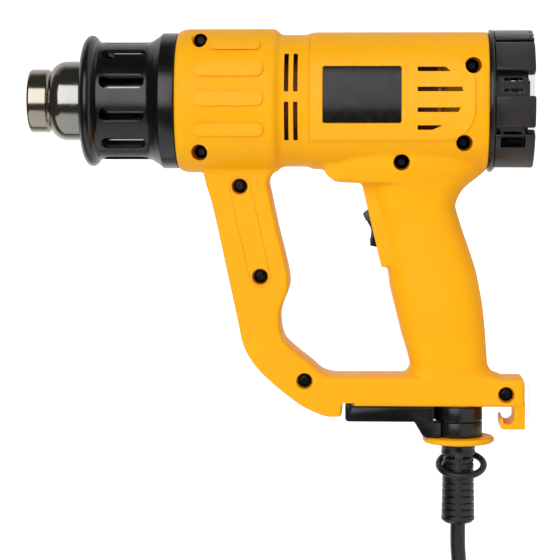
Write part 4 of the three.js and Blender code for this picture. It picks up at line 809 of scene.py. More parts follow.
# Metals of one fixed colour: colour, the second one that it drifts to, the heights in metres
# between which it does so, least and most roughness, ring depth, and the relief's depth in metres
METALS = {
    "Plated steel": ((0.62, 0.62, 0.6, 1), (0.5, 0.5, 0.48, 1), (0, 0.3), (0.2, 0.35),
                     0.3, 0.00003),
    "Black steel": ((0.012, 0.0118, 0.0118, 1), (0.02, 0.019, 0.018, 1), (0, 0.3), (0.25, 0.36),
                    0.3, 0.00003),
    "Aluminium": ((0.75, 0.76, 0.77, 1), (0.66, 0.67, 0.68, 1), (0, 0.1), (0.3, 0.45),
                  0.5, 0.00004),
    "Brass": ((0.72, 0.5, 0.2, 1), (0.6, 0.4, 0.16, 1), (0, 0.3), (0.22, 0.36), 0.3, 0.00003),
}
STRAW = (0.42, 0.35, 0.24, 1)
STRAW_HEIGHTS = (0.236, 0.262)


class HEATGUN_OT_finishes(bpy.types.Operator):
    """Makes the finishes that the pieces share"""

    bl_idname = "heat_gun.finishes"
    bl_label = "Finishes"

    def execute(self, context):
        colours = context.scene.heat_gun_colours
        moulded_skin()
        edge_wear_and_highlight()
        turned_metal()
        yellow, black = tuple(colours.yellow), tuple(colours.black)
        rubber, label = tuple(colours.rubber), tuple(colours.label)
        deeper = (yellow[0], yellow[1] * 0.93, yellow[2] * 0.7, 1)
        # The lighter edge colours given below are partly wear and partly a painted highlight.
        moulding("Yellow plastic", yellow, deeper, (0.4, 0.52), 0.6, 0.00005, wear_and_highlight=0.25,
                 worn_and_lit_colour=(1, 0.56, 0.08, 1), gloss=0.15)
        moulding("Black plastic", black, shade(black, 0.7), (0.19, 0.29), 0.6, 0.00005, wear_and_highlight=0.1,
                 worn_and_lit_colour=(0.1, 0.1, 0.105, 1))
        moulding("Label plate", label, shade(label, 0.8), (0.2, 0.26), 0.3, 0.00002, wear_and_highlight=0.1,
                 worn_and_lit_colour=(0.08, 0.08, 0.085, 1), gloss=0.34)
        moulding("Black rubber", rubber, shade(rubber, 1.5), (0.3, 0.42), 1, 0.00008, wear_and_highlight=0.1,
                 worn_and_lit_colour=(0.06, 0.06, 0.062, 1))
        for name, values in MOULDINGS.items():
            moulding(name, *values)
        metal("Stainless steel", tuple(colours.steel), STRAW, STRAW_HEIGHTS, (0.1, 0.2), 0.35,
              0.00003)
        for name, values in METALS.items():
            metal(name, *values)
        return {"FINISHED"}


def finish(name):
    return bpy.data.materials[name]


# ---------------------------------------------------------------- housing

RAY_START = 100


def side_span(side, near=0, far=BEYOND):
    """The low and high y of a stretch on one side of the middle plane."""
    return sorted((side * near, side * far))


def head_form(inset, sides=120):
    """The head of the housing, or the same form drawn in or out."""
    rings = [(z, radius - inset) for z, radius in HEAD_RINGS]
    turns = [math.pi / 2 * step / 6 for step in range(1, 7)]
    start = HEAD_FRONT_Z - SHOULDER_LENGTH
    reach = SHOULDER_LENGTH if inset <= 0 else SHOULDER_LENGTH / 2
    rings += [(start + reach * math.sin(turn),
               FRONT_RADIUS - inset - SHOULDER_DROP * (1 - math.cos(turn))) for turn in turns]
    if inset > 0:
        rings[0] = (HEAD_REAR_Z - 1, REAR_RADIUS - inset)
    return lofted(rings, lambda unit, ring: (unit.x * ring[1], unit.y * ring[1], ring[0]),
                  HEAD_POWER, sides)


def handle_form(inset, sides=96):
    """The neck and grip, or the hollow inside them."""
    rings = HANDLE_RINGS if inset <= 0 else HANDLE_RINGS[::2]
    most = HOLLOW_FRONT if inset > 0 else BEYOND * 2

    def place(unit, ring):
        front, rear = min(ring[1], most) - inset, ring[2] + inset
        return (-ring[0], unit.y * (ring[3] - inset),
                (front + rear) / 2 + unit.x * (front - rear) / 2)
    return lofted(rings, place, HANDLE_POWER, sides)


def frame_outline():
    """The strut, bar and foot in one outline of (x, z) points."""
    corners = (through(STRUT_OUTER, 4) + [HEEL, (HEEL[0], FRAME_DROP)] + FOOT_END + BAR_STEP
               + through(STRUT_INNER, 4))
    return [(-drop, z) for z, drop in corners]


def frame_form():
    return slab(frame_outline(), -FRAME_HALF, FRAME_HALF, edge=FRAME_EDGE, segments=5)


def skin_y(tree, x, z, side):
    """How far out the housing's skin is at a place on its side."""
    hit = tree.ray_cast(Vector((x, side * RAY_START, z)), Vector((0, -side, 0)))[0]
    return hit.y if hit else side * FRAME_HALF


def patch(outline, rise, side, slope=PANEL_SLOPE):
    """A patch of the head's skin, raised and with sloping edges."""
    corners = softened(outline, 6)
    middle = sum(corners, Vector((0, 0))) / len(corners)
    steps = [point - middle for point in corners]
    forms = []
    for share, grow in ((1, 0), (0.5, slope)):
        wide = [middle + step * (1 + grow / max(step.length, 1)) for step in steps]
        forms.append(kept_in(slab(wide, *side_span(side)), head_form(-rise * share)))
    return forms


def slot_cutter(outline, side, root):
    return slab(softened(outline, 4), *side_span(side, root))


def vent_cutters(side):
    """The upright slots, and the slots along the barrel, whose rear ends slant."""
    half = SLOT_WIDTH / 2
    cutters = [slot_cutter(box_outline((low, high), (z - half, z + half), SLOT_ROUND), side,
                           UPRIGHT_SLOT_ROOT) for z, low, high in UPRIGHT_SLOTS]
    for x, lower, upper in LENGTH_SLOTS:
        outline = [(x - half, lower, SLANT_ROUND), (x + half, upper, SLANT_ROUND),
                   (x + half, LENGTH_SLOT_FRONT, SLOT_ROUND),
                   (x - half, LENGTH_SLOT_FRONT, SLOT_ROUND)]
        cutters.append(slot_cutter(outline, side, LENGTH_SLOT_ROOT))
    return cutters


def recess_cutters(tree, radius):
    """Screw recesses on the left, each with a small chamfer where it meets the skin."""
    cutters = []
    for index, (drop, z) in enumerate(SCREWS):
        seat, reach = (SCREW_SEAT_Y, radius) if index else (NOTCH_SEAT_Y, NOTCH_RADIUS)
        cutters.append(rod(reach, (-drop, -BEYOND, z), (-drop, seat, z), 48))
        if index:
            skin = skin_y(tree, -drop, z, -1)
            cutters.append(cone(radius + CHAMFER_OUT, radius - CHAMFER_IN,
                                (-drop, skin - CHAMFER_HALF, z),
                                (-drop, skin + CHAMFER_HALF, z), 48))
        else:
            cutters += [block((-drop, -BEYOND, z - reach - wide),
                              (BEYOND, NOTCH_FLOOR_Y - 2 * wide, z + reach + wide))
                        for wide in (0, NOTCH_STEP)]
    return cutters


def tongue_groove(side):
    """A fine groove round the pill that joins two screws of the strut."""
    start, end = [Vector((-SCREWS[k][0], SCREWS[k][1])) for k in TONGUE_SCREWS]
    along = (end - start).normalized()
    turn = math.atan2(along.y, along.x) + math.pi / 2
    inner, outer = [
        arc(start, (radius, radius), turn, turn + math.pi, 12)
        + arc(end, (radius, radius), turn + math.pi, turn + 2 * math.pi, 12)
        for radius in (TONGUE_RADIUS - GROOVE_WIDTH / 2, TONGUE_RADIUS + GROOVE_WIDTH / 2)]
    return cut(slab(outer, *side_span(side, FRAME_HALF - GROOVE_DEPTH)),
               [slab(inner, -BEYOND * 2, BEYOND * 2)])


def inner_walls():
    """The sleeves round the screws of the head, and the finger guards behind the rear slots."""
    walls = []
    for index in SLEEVED:
        drop, z = SCREWS[index]
        sleeve = rod(SLEEVE_RADIUS, (-drop, -BEYOND, z), (-drop, SLEEVE_END_Y, z), 48)
        if index == BESIDE_DUCT:
            sleeve = cut(sleeve, [upright(DUCT_RADIUS, *DUCT_Z, 96)])
        walls.append(sleeve)
    for side in (-1, 1):
        low, high = side_span(side, *FINGER_GUARD_Y)
        walls.append(block((-BEYOND, low, FINGER_GUARD_Z[0]), (BEYOND, high, FINGER_GUARD_Z[1])))
    return walls


def housing_whole(sizes):
    """Both halves of the housing in one closed form, before they are cut apart."""
    wall, grain = sizes.wall / MM, sizes.fineness / MM
    bezel = block(*BEZEL, SWITCH_PLACE)
    bulge = slab(softened(BULGE, 6), -BULGE_HALF, BULGE_HALF, edge=BULGE_EDGE, segments=5)
    body = melted([head_form(0), handle_form(0), frame_form(), bezel, bulge], grain,
                  sizes.softness)
    tree = BVHTree.FromBMesh(body)
    added = [slab(softened(HOOK, 3), -HOOK_HALF, HOOK_HALF, edge=HOOK_EDGE)]
    for side in (-1, 1):
        added += patch(PANEL, PANEL_RISE, side)
        for middle, width, low, high in BARS:
            added += patch(box_outline((middle - width / 2, middle + width / 2), (low, high),
                                       BAR_ROUND * width), BAR_RISE, side, BAR_SLOPE)
    body = fused(body, added)

    hollows = [cut(form, inner_walls()) for form in (head_form(wall, 60), handle_form(wall, 48))]
    hollows += [
        block(*FLANGE_ROOM), upright(GUARD_NECK + GAP, *GUARD_SEAT_Z, 96),
        rod(TUBE_BORE, (-160, 0, CORD_Z), (-150, 0, CORD_Z), 64),
        block((-160, -BEYOND, HEEL[0] - TIP_POCKET_HEIGHT),
              (TIP_POCKET_DEPTH - FRAME_DROP, BEYOND, HEEL[0])),
        block(*SWITCH_WELL, SWITCH_PLACE, edge=0.4), block(*SWITCH_ROOM, SWITCH_PLACE)]
    body = cut(body, hollows)
    details = recess_cutters(tree, sizes.recess_radius / MM)
    for side in (-1, 1):
        details += vent_cutters(side) + [tongue_groove(side)]
        window = slab(softened(box_outline(LABEL_X, LABEL_Z, LABEL_ROUND), 4), *side_span(side))
        details.append(cut(window, [head_form(GAP)]))
        line = slab(softened(box_outline(LINE_X, LINE_Z, 0)), *side_span(side))
        details.append(cut(line, [head_form(LINE_DEPTH)]))
    return cut(body, details)


class HEATGUN_OT_housing(bpy.types.Operator):
    """Makes the two halves of the yellow housing"""

    bl_idname = "heat_gun.housing"
    bl_label = "Housing"

    def execute(self, context):
        whole = housing_whole(context.scene.heat_gun_sizes)
        for side, name, node in ((-1, "housing_left", "left_shell"),
                                 (1, "housing_right", "right_shell")):
            low, high = side_span(side, SEAM, 100)
            half = kept_in(whole.copy(), block((-200, low, -10), (100, high, 200)))
            finished(half, name, finish("Yellow plastic"), "yellow_plastic", "housing", node,
                     sharp=32)
        whole.free()
        return {"FINISHED"}


class HEATGUN_OT_labels(bpy.types.Operator):
    """Makes the two blank label plates"""

    bl_idname = "heat_gun.labels"
    bl_label = "Label plates"

    def execute(self, context):
        for side, name, node in ((-1, "label_plate_left", "label_left"),
                                 (1, "label_plate_right", "label_right")):
            forms = []
            for inset, rise in ((GAP, PANEL_RISE - PLATE_EDGE), (GAP + PLATE_STEP, PANEL_RISE)):
                outline = box_outline((LABEL_X[0] + inset, LABEL_X[1] - inset),
                                      (LABEL_Z[0] + inset, LABEL_Z[1] - inset), PLATE_ROUND)
                skin = cut(head_form(-rise), [head_form(0)])
                forms.append(kept_in(skin, slab(softened(outline, 4), *side_span(side))))
            finished(fused(forms[0], forms[1:]), name, finish("Label plate"), "label_plate",
                     "housing", node)
        return {"FINISHED"}


# ---------------------------------------------------------------- rear cap and dial

# Where the cap's feet start and end and where its intakes are, in degrees round the barrel
CAP_FEET = [(-30.2, 30.2), (34.2, 64.9), (86.1, 112.6), (118.5, 161.4),
            (-64.9, -34.2), (-112.6, -86.1), (-161.4, -118.5)]
CAP_SLOTS = [172.5, 187.5] + [side * turn for side in (-1, 1)
                              for turn in (70.3, 80.7, 121, 127.5)]
WINDOW_TURN = 124
FOOT_HEIGHT = 19.8
FOOT_ROOT = 30.3
FOOT_ROUND = 1.2
DRUM_RADIUS = 31.5
DRUM_FLOOR_Z = 3.6
CAP_PROFILE = [
    (0, DRUM_FLOOR_Z, 0), (DRUM_RADIUS, DRUM_FLOOR_Z, 0.8), (DRUM_RADIUS, 19.2, 0.6),
    (34.9, 19.2, 0.4), (36.5, 20.7, 0.5), (36.5, 22.6, 0.4), (32.7, 22.6, 0), (32.7, 25.7, 0.3),
    (29.2, 25.7, 0.3), (29.2, 6, 0), (0, 6, 0)]
INTAKES = 10
STEM_BORE = 3.5
POSTS = 3
POST_CIRCLE = 22
POST_RADIUS = 3
POST_Z = (5.7, 11.7)
DIAL_RADIUS = 12
DIAL_FLUTES = 15
DIAL_FLUTE_DEPTH = 0.035
DIAL_Z = 1.7
DIAL_HEIGHT = 1.6
STEM_RADIUS = 3.2


def cap_lobe(low, high, radius):
    """One of the cap's feet: an arc of its rim with rounded rear corners."""
    ends = math.radians(low), math.radians(high)
    rim = arc((0, 0), (radius, radius), *ends, 12)
    root = arc((0, 0), (FOOT_ROOT, FOOT_ROOT), *ends, 12)
    bm = bmesh.new()
    bm.faces.new([bm.verts.new((x, y, FOOT_HEIGHT)) for x, y in rim + root[::-1]])
    fresh = set(thickened(bm, (0, 0, -FOOT_HEIGHT)))
    corners = [Vector(rim[0]), Vector(rim[-1])]
    sharp = [edge for edge in bm.edges
             if all(vert in fresh for vert in edge.verts)
             or any(all((vert.co.xy - corner).length < 1e-3 for vert in edge.verts)
                    for corner in corners)]
    return bevelled(bm, sharp, FOOT_ROUND, 3)


def cap_slot(turn):
    """An upright intake slot through the drum, between two lobes."""
    outline = softened(box_outline((-0.9, 0.9), (6.4, 16.1), 0.8), 3)
    return slab(outline, 27, 40, turn=around_z(turn) @ around_z(-math.pi / 2))


class HEATGUN_OT_rear_cap(bpy.types.Operator):
    """Makes the rear cap with its feet and air intakes"""

    bl_idname = "heat_gun.rear_cap"
    bl_label = "Rear cap"

    def execute(self, context):
        radius = context.scene.heat_gun_sizes.cap_radius / MM
        body = spun(softened(CAP_PROFILE, 3), 128, closed=False)
        body = fused(body, [cap_lobe(low, high, radius) for low, high in CAP_FEET])
        window = cut(block((29, -4, 4.9), (BEYOND, 4, 17.4), edge=0.8),
                     [upright(DRUM_RADIUS, 0, 22, 96)])
        cutters = [upright(STEM_BORE, 0, 12)]
        cutters += [moved(window.copy(), around_z(math.radians(side * WINDOW_TURN)))
                    for side in (-1, 1)]
        window.free()
        cutters += [cap_slot(math.radians(turn)) for turn in CAP_SLOTS]
        cutters += [block((x, -30, -1), (x + 0.7, 30, 2.6)) for x in (31.9, 34.1)]
        intake = softened(box_outline((15.5, 25), (-1, 1), 0.9), 3)
        cutters += [slab(intake, 0, 9, turn=around_z(2 * math.pi * (k + 0.5) / INTAKES) @ LAID_FLAT)
                    for k in range(INTAKES)]
        body = cut(body, cutters)
        posts = [upright(POST_RADIUS, *POST_Z, 24, POST_CIRCLE * math.cos(turn),
                         POST_CIRCLE * math.sin(turn))
                 for turn in (2 * math.pi * (k / POSTS + 0.25) for k in range(POSTS))]
        finished(fused(body, posts), "intake_cap", finish("Black plastic"), "black_plastic",
                 "housing", "rear_cap", sharp=28)
        return {"FINISHED"}


class HEATGUN_OT_dial(bpy.types.Operator):
    """Makes the fluted temperature dial under the rear cap"""

    bl_idname = "heat_gun.dial"
    bl_label = "Temperature dial"

    def execute(self, context):
        def radius_at(turn):
            flute = (0.5 + 0.5 * math.cos(DIAL_FLUTES * turn)) ** 2
            return DIAL_RADIUS * (1 - DIAL_FLUTE_DEPTH * flute)

        wheel = waved(radius_at, 180, DIAL_Z, DIAL_HEIGHT)
        bevelled(wheel, level_edges(wheel, 2), 0.3, 2)
        grip = block((-10.4, -1.6, 0.9), (10.4, 1.6, 2.6), edge=0.5)
        stem = upright(STEM_RADIUS, 2, 6.3)
        pointer = block((6.2, -0.35, 0), (11, 0.35, 1.2))
        finished(cut(fused(wheel, [grip, stem]), [pointer]), "knob", finish("Black plastic"),
                 "black_plastic", "dial", "temperature_dial")
        return {"FINISHED"}


# ---------------------------------------------------------------- nozzle end

GUARD_SLOTS = 11
GUARD_SLOT_HALF = 3.85
GUARD_SLOT_Z = (197, 220)
GUARD_SLOT_ROUND = 3.5
GUARD_FIRST_TURN = math.radians(-70.5 - 90)
BULB_RADIUS = 11
BULB_Z = 239.5
BULB_TURN = math.radians(55)
SPIGOT_RADIUS = 16.4
SPIGOT_BORE = 14.8
CORE_RADIUS = 18.1
HOLE_PITCH = 6.3
HOLE_RADIUS = 2.1
COIL_WIRE_RADIUS = 1.45
COIL_WIRE_TURNS = 7
COIL_WIRE_FALL = 0.36


class HEATGUN_OT_guard(bpy.types.Operator):
    """Makes the slotted guard round the nozzle"""

    bl_idname = "heat_gun.guard"
    bl_label = "Nozzle guard"

    def execute(self, context):
        body = context.scene.heat_gun_sizes.guard_radius / MM
        bead = [(a, b, 0) for a, b in arc((27, 226.4), (6.8, 4.3), math.radians(-58),
                                          math.radians(82), 14)]
        profile = softened([
            (27.7, 175.5, 0.3), (32.4, 175.5, 0.4), (32.4, 178.2, 0.2), (GUARD_NECK, 178.2, 0),
            (GUARD_NECK, 181.8, 0), (34.9, 181.8, 0.4), (34.9, 189.4, 0.9), (32.6, 192.2, 1.2),
            (body, 196, 6), (body, 221.4, 2)] + bead + [(27.7, 229.4, 0.3)], 6)
        outline = softened(box_outline((-GUARD_SLOT_HALF, GUARD_SLOT_HALF), GUARD_SLOT_Z,
                                       GUARD_SLOT_ROUND), 6)
        slots = [slab(outline, 22, BEYOND,
                      turn=around_z(GUARD_FIRST_TURN + 2 * math.pi * k / GUARD_SLOTS))
                 for k in range(GUARD_SLOTS)]
        finished(cut(spun(profile, 132), slots), "guard", finish("Black plastic"),
                 "black_plastic", "housing", "nozzle_guard", sharp=40)
        return {"FINISHED"}


class HEATGUN_OT_nozzle(bpy.types.Operator):
    """Makes the steel nozzle and the heater core inside it"""

    bl_idname = "heat_gun.nozzle"
    bl_label = "Nozzle and heater"

    def execute(self, context):
        tube = context.scene.heat_gun_sizes.nozzle_radius / MM
        spigot, bore = SPIGOT_RADIUS, SPIGOT_BORE
        bulb = arc((BULB_RADIUS, BULB_Z), (tube - BULB_RADIUS, 9.4), 0, BULB_TURN, 14)
        hollow = arc((BULB_RADIUS, BULB_Z), (tube - 0.9 - BULB_RADIUS, 8.5), 0, BULB_TURN, 10)
        groove = [(spigot - 0.7, 247.5), (spigot - 0.9, 248.1), (spigot - 0.6, 248.8)]
        rim = arc((spigot - 1.2, 257.2), (1.2, 1.8), 0, math.pi / 2, 6)
        profile = ([(24, 136.3), (24, 137.9), (tube, 137.9)] + bulb + groove + [(spigot, 249.4)]
                   + rim + [(bore, 258.6), (bore, 247.4)] + hollow[::-1] + [(tube - 0.8, 136.3)])
        finished(spun(profile, 128), "nozzle", finish("Stainless steel"), "stainless_steel",
                 "housing", "nozzle_tube", sharp=40)

        places = [(HOLE_PITCH * (q + r / 2), HOLE_PITCH * r * math.sqrt(3) / 2)
                  for q in range(-2, 3) for r in range(-2, 3) if abs(q + r) <= 2]
        holes = together([upright(HOLE_RADIUS, 140, 235, 20, x, y) for x, y in places])
        finished(cut(upright(CORE_RADIUS, 143.7, 230.7, 96), [holes]), "heater_block",
                 finish("Ceramic"), "ceramic", "housing", "heater_core")
        turns = [2 * math.pi * COIL_WIRE_TURNS * step / 96 for step in range(97)]
        coils = [wire([(x + COIL_WIRE_RADIUS * math.cos(turn),
                        y + COIL_WIRE_RADIUS * math.sin(turn),
                        228.6 - turn * COIL_WIRE_FALL) for turn in turns], 0.3, 5)
                 for x, y in places]
        finished(together(coils), "heater_wire", finish("Plated steel"), "plated_steel", "housing")
        return {"FINISHED"}


# ---------------------------------------------------------------- switch and screws

ROCKER_PROFILE = [
    (9.9, 0, 0.5), (8.4, 3.2, 0.6), (0, 0.5, 6), (-8.4, 3.2, 0.6), (-9.9, 0, 0.5),
    (-9.9, -3, 0.3), (-2.6, -3, 0), (-1.3, -8, 0.4), (1.3, -8, 0.4), (2.6, -3, 0),
    (9.9, -3, 0.3)]
ROCKER_HALF = 7.2
RIDGE_HALF = 5.2
HEAD_HEIGHT = 2.2
SHANK_RADIUS = 1.6
SHANK_LENGTH = 18
TIP_LENGTH = 1.6
SOCKET_DEPTH = 1.4


class HEATGUN_OT_rocker(bpy.types.Operator):
    """Makes the rocker of the switch"""

    bl_idname = "heat_gun.rocker"
    bl_label = "Rocker"

    def execute(self, context):
        body = slab(softened(ROCKER_PROFILE, 4), -ROCKER_HALF, ROCKER_HALF, edge=0.35, segments=2)
        ridges = [block((x - 0.25, -RIDGE_HALF, 0), (x + 0.25, RIDGE_HALF, 2.1 + abs(x) * 0.12))
                  for x in (5.2, 6.4, -5.2, -6.4)]
        body = moved(fused(body, ridges), SWITCH_PLACE)
        finished(body, "rocker_button", finish("Black plastic"), "black_plastic", "rocker",
                 "switch_rocker")
        return {"FINISHED"}


def screw_form(head, seat, drop, z):
    """A screw along +Y with a domed head and a six-pointed socket."""
    top = SHANK_LENGTH + HEAD_HEIGHT
    profile = softened([
        (0, 0, 0), (SHANK_RADIUS * 0.4, 0, 0), (SHANK_RADIUS, TIP_LENGTH, 0),
        (SHANK_RADIUS, SHANK_LENGTH, 0), (head, SHANK_LENGTH, 0.3),
        (head, SHANK_LENGTH + HEAD_HEIGHT * 0.7, 0.9), (head * 0.5, top, 1.2), (0, top, 0)], 4)
    star = waved(lambda turn: head * (0.42 + 0.09 * math.cos(6 * turn)), 36, top - SOCKET_DEPTH, 4)
    screw = cut(spun(profile, 40, closed=False), [star])
    aim = Matrix.Translation((-drop, seat, z)) @ LAID_FLAT
    return moved(screw, aim @ Matrix.Translation((0, 0, -SHANK_LENGTH)))


class HEATGUN_OT_screws(bpy.types.Operator):
    """Makes the nine housing screws"""

    bl_idname = "heat_gun.screws"
    bl_label = "Screws"

    def execute(self, context):
        head = context.scene.heat_gun_sizes.screw_radius / MM
        for index, (drop, z) in enumerate(SCREWS):
            seat = (NOTCH_SEAT_Y if index == 0 else SCREW_SEAT_Y) - GAP
            form = screw_form(head, seat, drop, z)
            finished(form, f"screw_{index + 1}", finish("Black steel"), "black_steel", "housing",
                     f"housing_screw_{index + 1}")
        return {"FINISHED"}


# ---------------------------------------------------------------- stand, boot and ring

HUB_TOP = FRAME_DROP + 2 * GAP
HUB_HEIGHT = 7.8
LOWER_TOP = HUB_TOP + HUB_HEIGHT + GAP
LOWER_BOTTOM = LOWER_TOP + HUB_HEIGHT
DISC_TOP = LOWER_BOTTOM + GAP
DISC_BOTTOM = DISC_TOP + 3
HUB_RADIUS = 12.4
ARM_HALF = 10.1
ARM_TIP_Z = CORD_Z + 58.8
ARM_ROOT = 9.4
WEB_ROOT = 13.2
JOINT_Z = CORD_Z + 21.5
SHOULDER = DISC_BOTTOM + 8.5
RIB_ROWS = 9
RIB_PITCH = 3.45
BOOT_END = SHOULDER + 33.86
CORD_BORE = 4.2
COLLAR_TOP = DISC_BOTTOM + GAP
COLLAR_BORE = 6.9
RING_RADIUS = 11.6
RING_WIRE = 1.8
RING_LEAN = math.radians(23)
RING_MIDDLE = (-DISC_BOTTOM - 12, 0, CORD_Z - 1.6)


def leg_form(top, arms):
    """A stand leg: its hub from the top down, its arms, and the bore for the retainer's tube."""
    bottom = top + HUB_HEIGHT
    profile = softened([(TUBE_BORE, top, 0.2), (HUB_RADIUS, top, 0.6), (HUB_RADIUS, bottom, 0.6),
                        (TUBE_BORE, bottom, 0.2)], 3)
    bore = rod(TUBE_BORE, (-185, 0, CORD_Z), (-150, 0, CORD_Z), 96)
    return cut(fused(spun(profile, 96, ALONG_CORD), arms), [bore])


def leg_arm(side, reach):
    """The arm that lies along the foot when folded, with a rounded tip and a nub."""
    root, tip, back = CORD_Z + reach, ARM_TIP_Z, -HUB_TOP - HUB_HEIGHT
    outline = softened([
        (-HUB_TOP, root, 0), (-HUB_TOP, tip - 3.6, 0.6), (-HUB_TOP + 1.2, tip - 3, 0.5),
        (-HUB_TOP + 1.2, tip, 0.5), (back, tip, 1.8), (back, root, 0)], 4)
    return slab(outline, *side_span(side, GAP, ARM_HALF), edge=0.5, segments=2)


class HEATGUN_OT_stand(bpy.types.Operator):
    """Makes the two stand legs and the yellow disc that holds them"""

    bl_idname = "heat_gun.stand"
    bl_label = "Stand"

    def execute(self, context):
        right = leg_form(HUB_TOP, [leg_arm(1, ARM_ROOT)])
        finished(right, "leg_right_form", finish("Black plastic"), "black_plastic", "leg_right",
                 "stand_leg_right")
        web = slab(softened([
            (-LOWER_TOP, CORD_Z + ARM_ROOT, 0), (-LOWER_TOP, CORD_Z + WEB_ROOT, 0),
            (-HUB_TOP - 0.4, CORD_Z + WEB_ROOT, 0), (-HUB_TOP - 0.4, JOINT_Z + 8.6, 0),
            (-HUB_TOP - HUB_HEIGHT, JOINT_Z + 1.6, 1.5), (-LOWER_BOTTOM, JOINT_Z - 3.2, 2.6),
            (-LOWER_BOTTOM, CORD_Z + ARM_ROOT, 0)], 4), -ARM_HALF, -GAP, edge=0.5, segments=2)
        left = leg_form(LOWER_TOP, [web, leg_arm(-1, WEB_ROOT)])
        finished(left, "leg_left_form", finish("Black plastic"), "black_plastic", "leg_left",
                 "stand_leg_left")
        profile = softened([
            (7, 151.9, 0.3), (11.4, 151.9, 0.4), (11.4, 154.1, 0.2), (TUBE_RADIUS, 154.1, 0),
            (TUBE_RADIUS, DISC_TOP, 0.3), (17.9, DISC_TOP, 0.5), (18.6, DISC_TOP + 1, 0.5),
            (18.6, DISC_BOTTOM - 1, 0.5), (17.6, DISC_BOTTOM, 0.5), (7, DISC_BOTTOM, 0.4)], 3)
        finished(spun(profile, 128, ALONG_CORD), "retainer", finish("Yellow plastic"),
                 "yellow_plastic", "housing", "stand_retainer")
        return {"FINISHED"}


class HEATGUN_OT_boot(bpy.types.Operator):
    """Makes the ribbed strain relief and the hanging ring on it"""

    bl_idname = "heat_gun.boot"
    bl_label = "Strain relief and ring"

    def execute(self, context):
        radius = context.scene.heat_gun_sizes.boot_radius / MM
        profile = softened([
            (CORD_BORE, 149.2, 0), (10.8, 149.2, 0.5), (10.8, 151.6, 0.3), (6.6, 151.6, 0),
            (6.6, SHOULDER - 1, 0.6), (radius - 0.4, SHOULDER, 0.8),
            (radius + 0.2, BOOT_END - 3.4, 2), (radius + 0.4, BOOT_END - 1.8, 0.9),
            (radius - 1.4, BOOT_END, 1.2), (CORD_BORE, BOOT_END, 0)], 4)
        cutters = []
        for row in range(RIB_ROWS):
            middle = SHOULDER + 2.2 + row * RIB_PITCH
            for side in (-1, 1):
                ring = spun([(radius - 1.5, middle - 0.5), (radius + 2, middle - 0.5),
                             (radius + 2, middle + 0.5), (radius - 1.5, middle + 0.5)], 64,
                            ALONG_CORD)
                low, high = side_span(side, 1.6, 20)
                cutters.append(kept_in(ring, block((-230, -20, CORD_Z + low),
                                                   (-180, 20, CORD_Z + high))))
        finished(cut(spun(profile, 120, ALONG_CORD), cutters), "boot", finish("Black rubber"),
                 "black_rubber", "housing", "strain_relief", sharp=40)

        top = COLLAR_TOP
        collar = spun(softened([
            (COLLAR_BORE, top, 0.2), (8.7, top, 0.3), (9, top + 1.6, 1), (8.5, top + 3.2, 1.4),
            (9, top + 4.9, 1), (8.6, top + 6.4, 0.5), (COLLAR_BORE, top + 6.4, 0.2)], 4), 96,
            ALONG_CORD)
        section = arc((RING_RADIUS, 0), (RING_WIRE, RING_WIRE), 0, 2 * math.pi, 24)[:-1]
        loop = spun(section, 96, Matrix.Translation(RING_MIDDLE) @ around_z(-RING_LEAN)
                    @ Matrix.Rotation(math.pi / 2, 4, "Y"))
        along = RING_MIDDLE[0] + RING_RADIUS * math.sin(RING_LEAN)
        out = RING_RADIUS * math.cos(RING_LEAN)
        strap = softened([
            (-top - 3.2, 8.7, 0), (-top - 6.4, 8.4, 0.4), (along - 0.9, out + 0.9, 0.5),
            (along + 0.9, out + 1.8, 0.5), (-top - 3.2, 11, 1)], 4)
        strap = slab(strap, -2, 2, turn=Matrix.Translation((0, 0, CORD_Z)) @ LAID_FLAT, edge=0.4,
                     segments=2)
        finished(fused(collar, [loop, strap]), "hanger", finish("Black rubber"), "black_rubber",
                 "ring", "hang_ring", sharp=40)
        return {"FINISHED"}


# ---------------------------------------------------------------- cord, tie and plug

STRAIGHT = 7.8
COIL_OUTER = COIL_INNER + COIL_PITCH * LAYER_TURNS
LEAD = [Vector(CORD_EXIT) + Vector(step) for step in LEAD_ROUTE]
COIL_FIRST = LEAD[-1] + Vector((math.sin(COIL_START), -math.cos(COIL_START), 0)) * (STRAIGHT + GAP)
COIL_CENTRE = COIL_FIRST - Vector((math.cos(COIL_START), math.sin(COIL_START), 0)) * COIL_OUTER
TIE_GAP = 0.5
TIE_THICKNESS = 0.8
TIE_HALF = 4.5
PLUG_OUTLINE = [(0, -7, 2), (8, -7.6, 6), (17, -17.5, 9), (37, -17.5, 4), (37, 17.5, 4),
                (17, 17.5, 9), (8, 7.6, 6), (0, 7, 2)]
PLUG_HALF = 8.5
PIN_OFFSET = 9.5
PIN_RADIUS = 2.4
SOCKET_RADIUS = PIN_RADIUS + GAP


def coil_point(turn):
    """A point of the coil: in a spiral to the middle, up a layer, out again, and so on up."""
    layer = min(max(math.floor(turn / LAYER_TURNS + 0.5), 1), COIL_LAYERS - 1)
    beyond = turn - layer * LAYER_TURNS
    away = abs(beyond)
    eased = away * away / (2 * COIL_BLEND) + COIL_BLEND / 2 if away < COIL_BLEND else away
    share = min(max((beyond + COIL_BLEND) / (2 * COIL_BLEND), 0), 1)
    climb = layer - 1 + share * share * (3 - 2 * share)
    radius = COIL_INNER + COIL_PITCH * eased if layer % 2 else COIL_OUTER - COIL_PITCH * eased
    angle = COIL_START - 2 * math.pi * turn
    return Vector((COIL_CENTRE.x + radius * math.cos(angle),
                   COIL_CENTRE.y + radius * math.sin(angle),
                   COIL_LAYER_Z + COIL_LAYER_RISE * climb))


def coil_heading(turn):
    return (coil_point(turn + 0.001) - coil_point(turn - 0.001)).normalized()


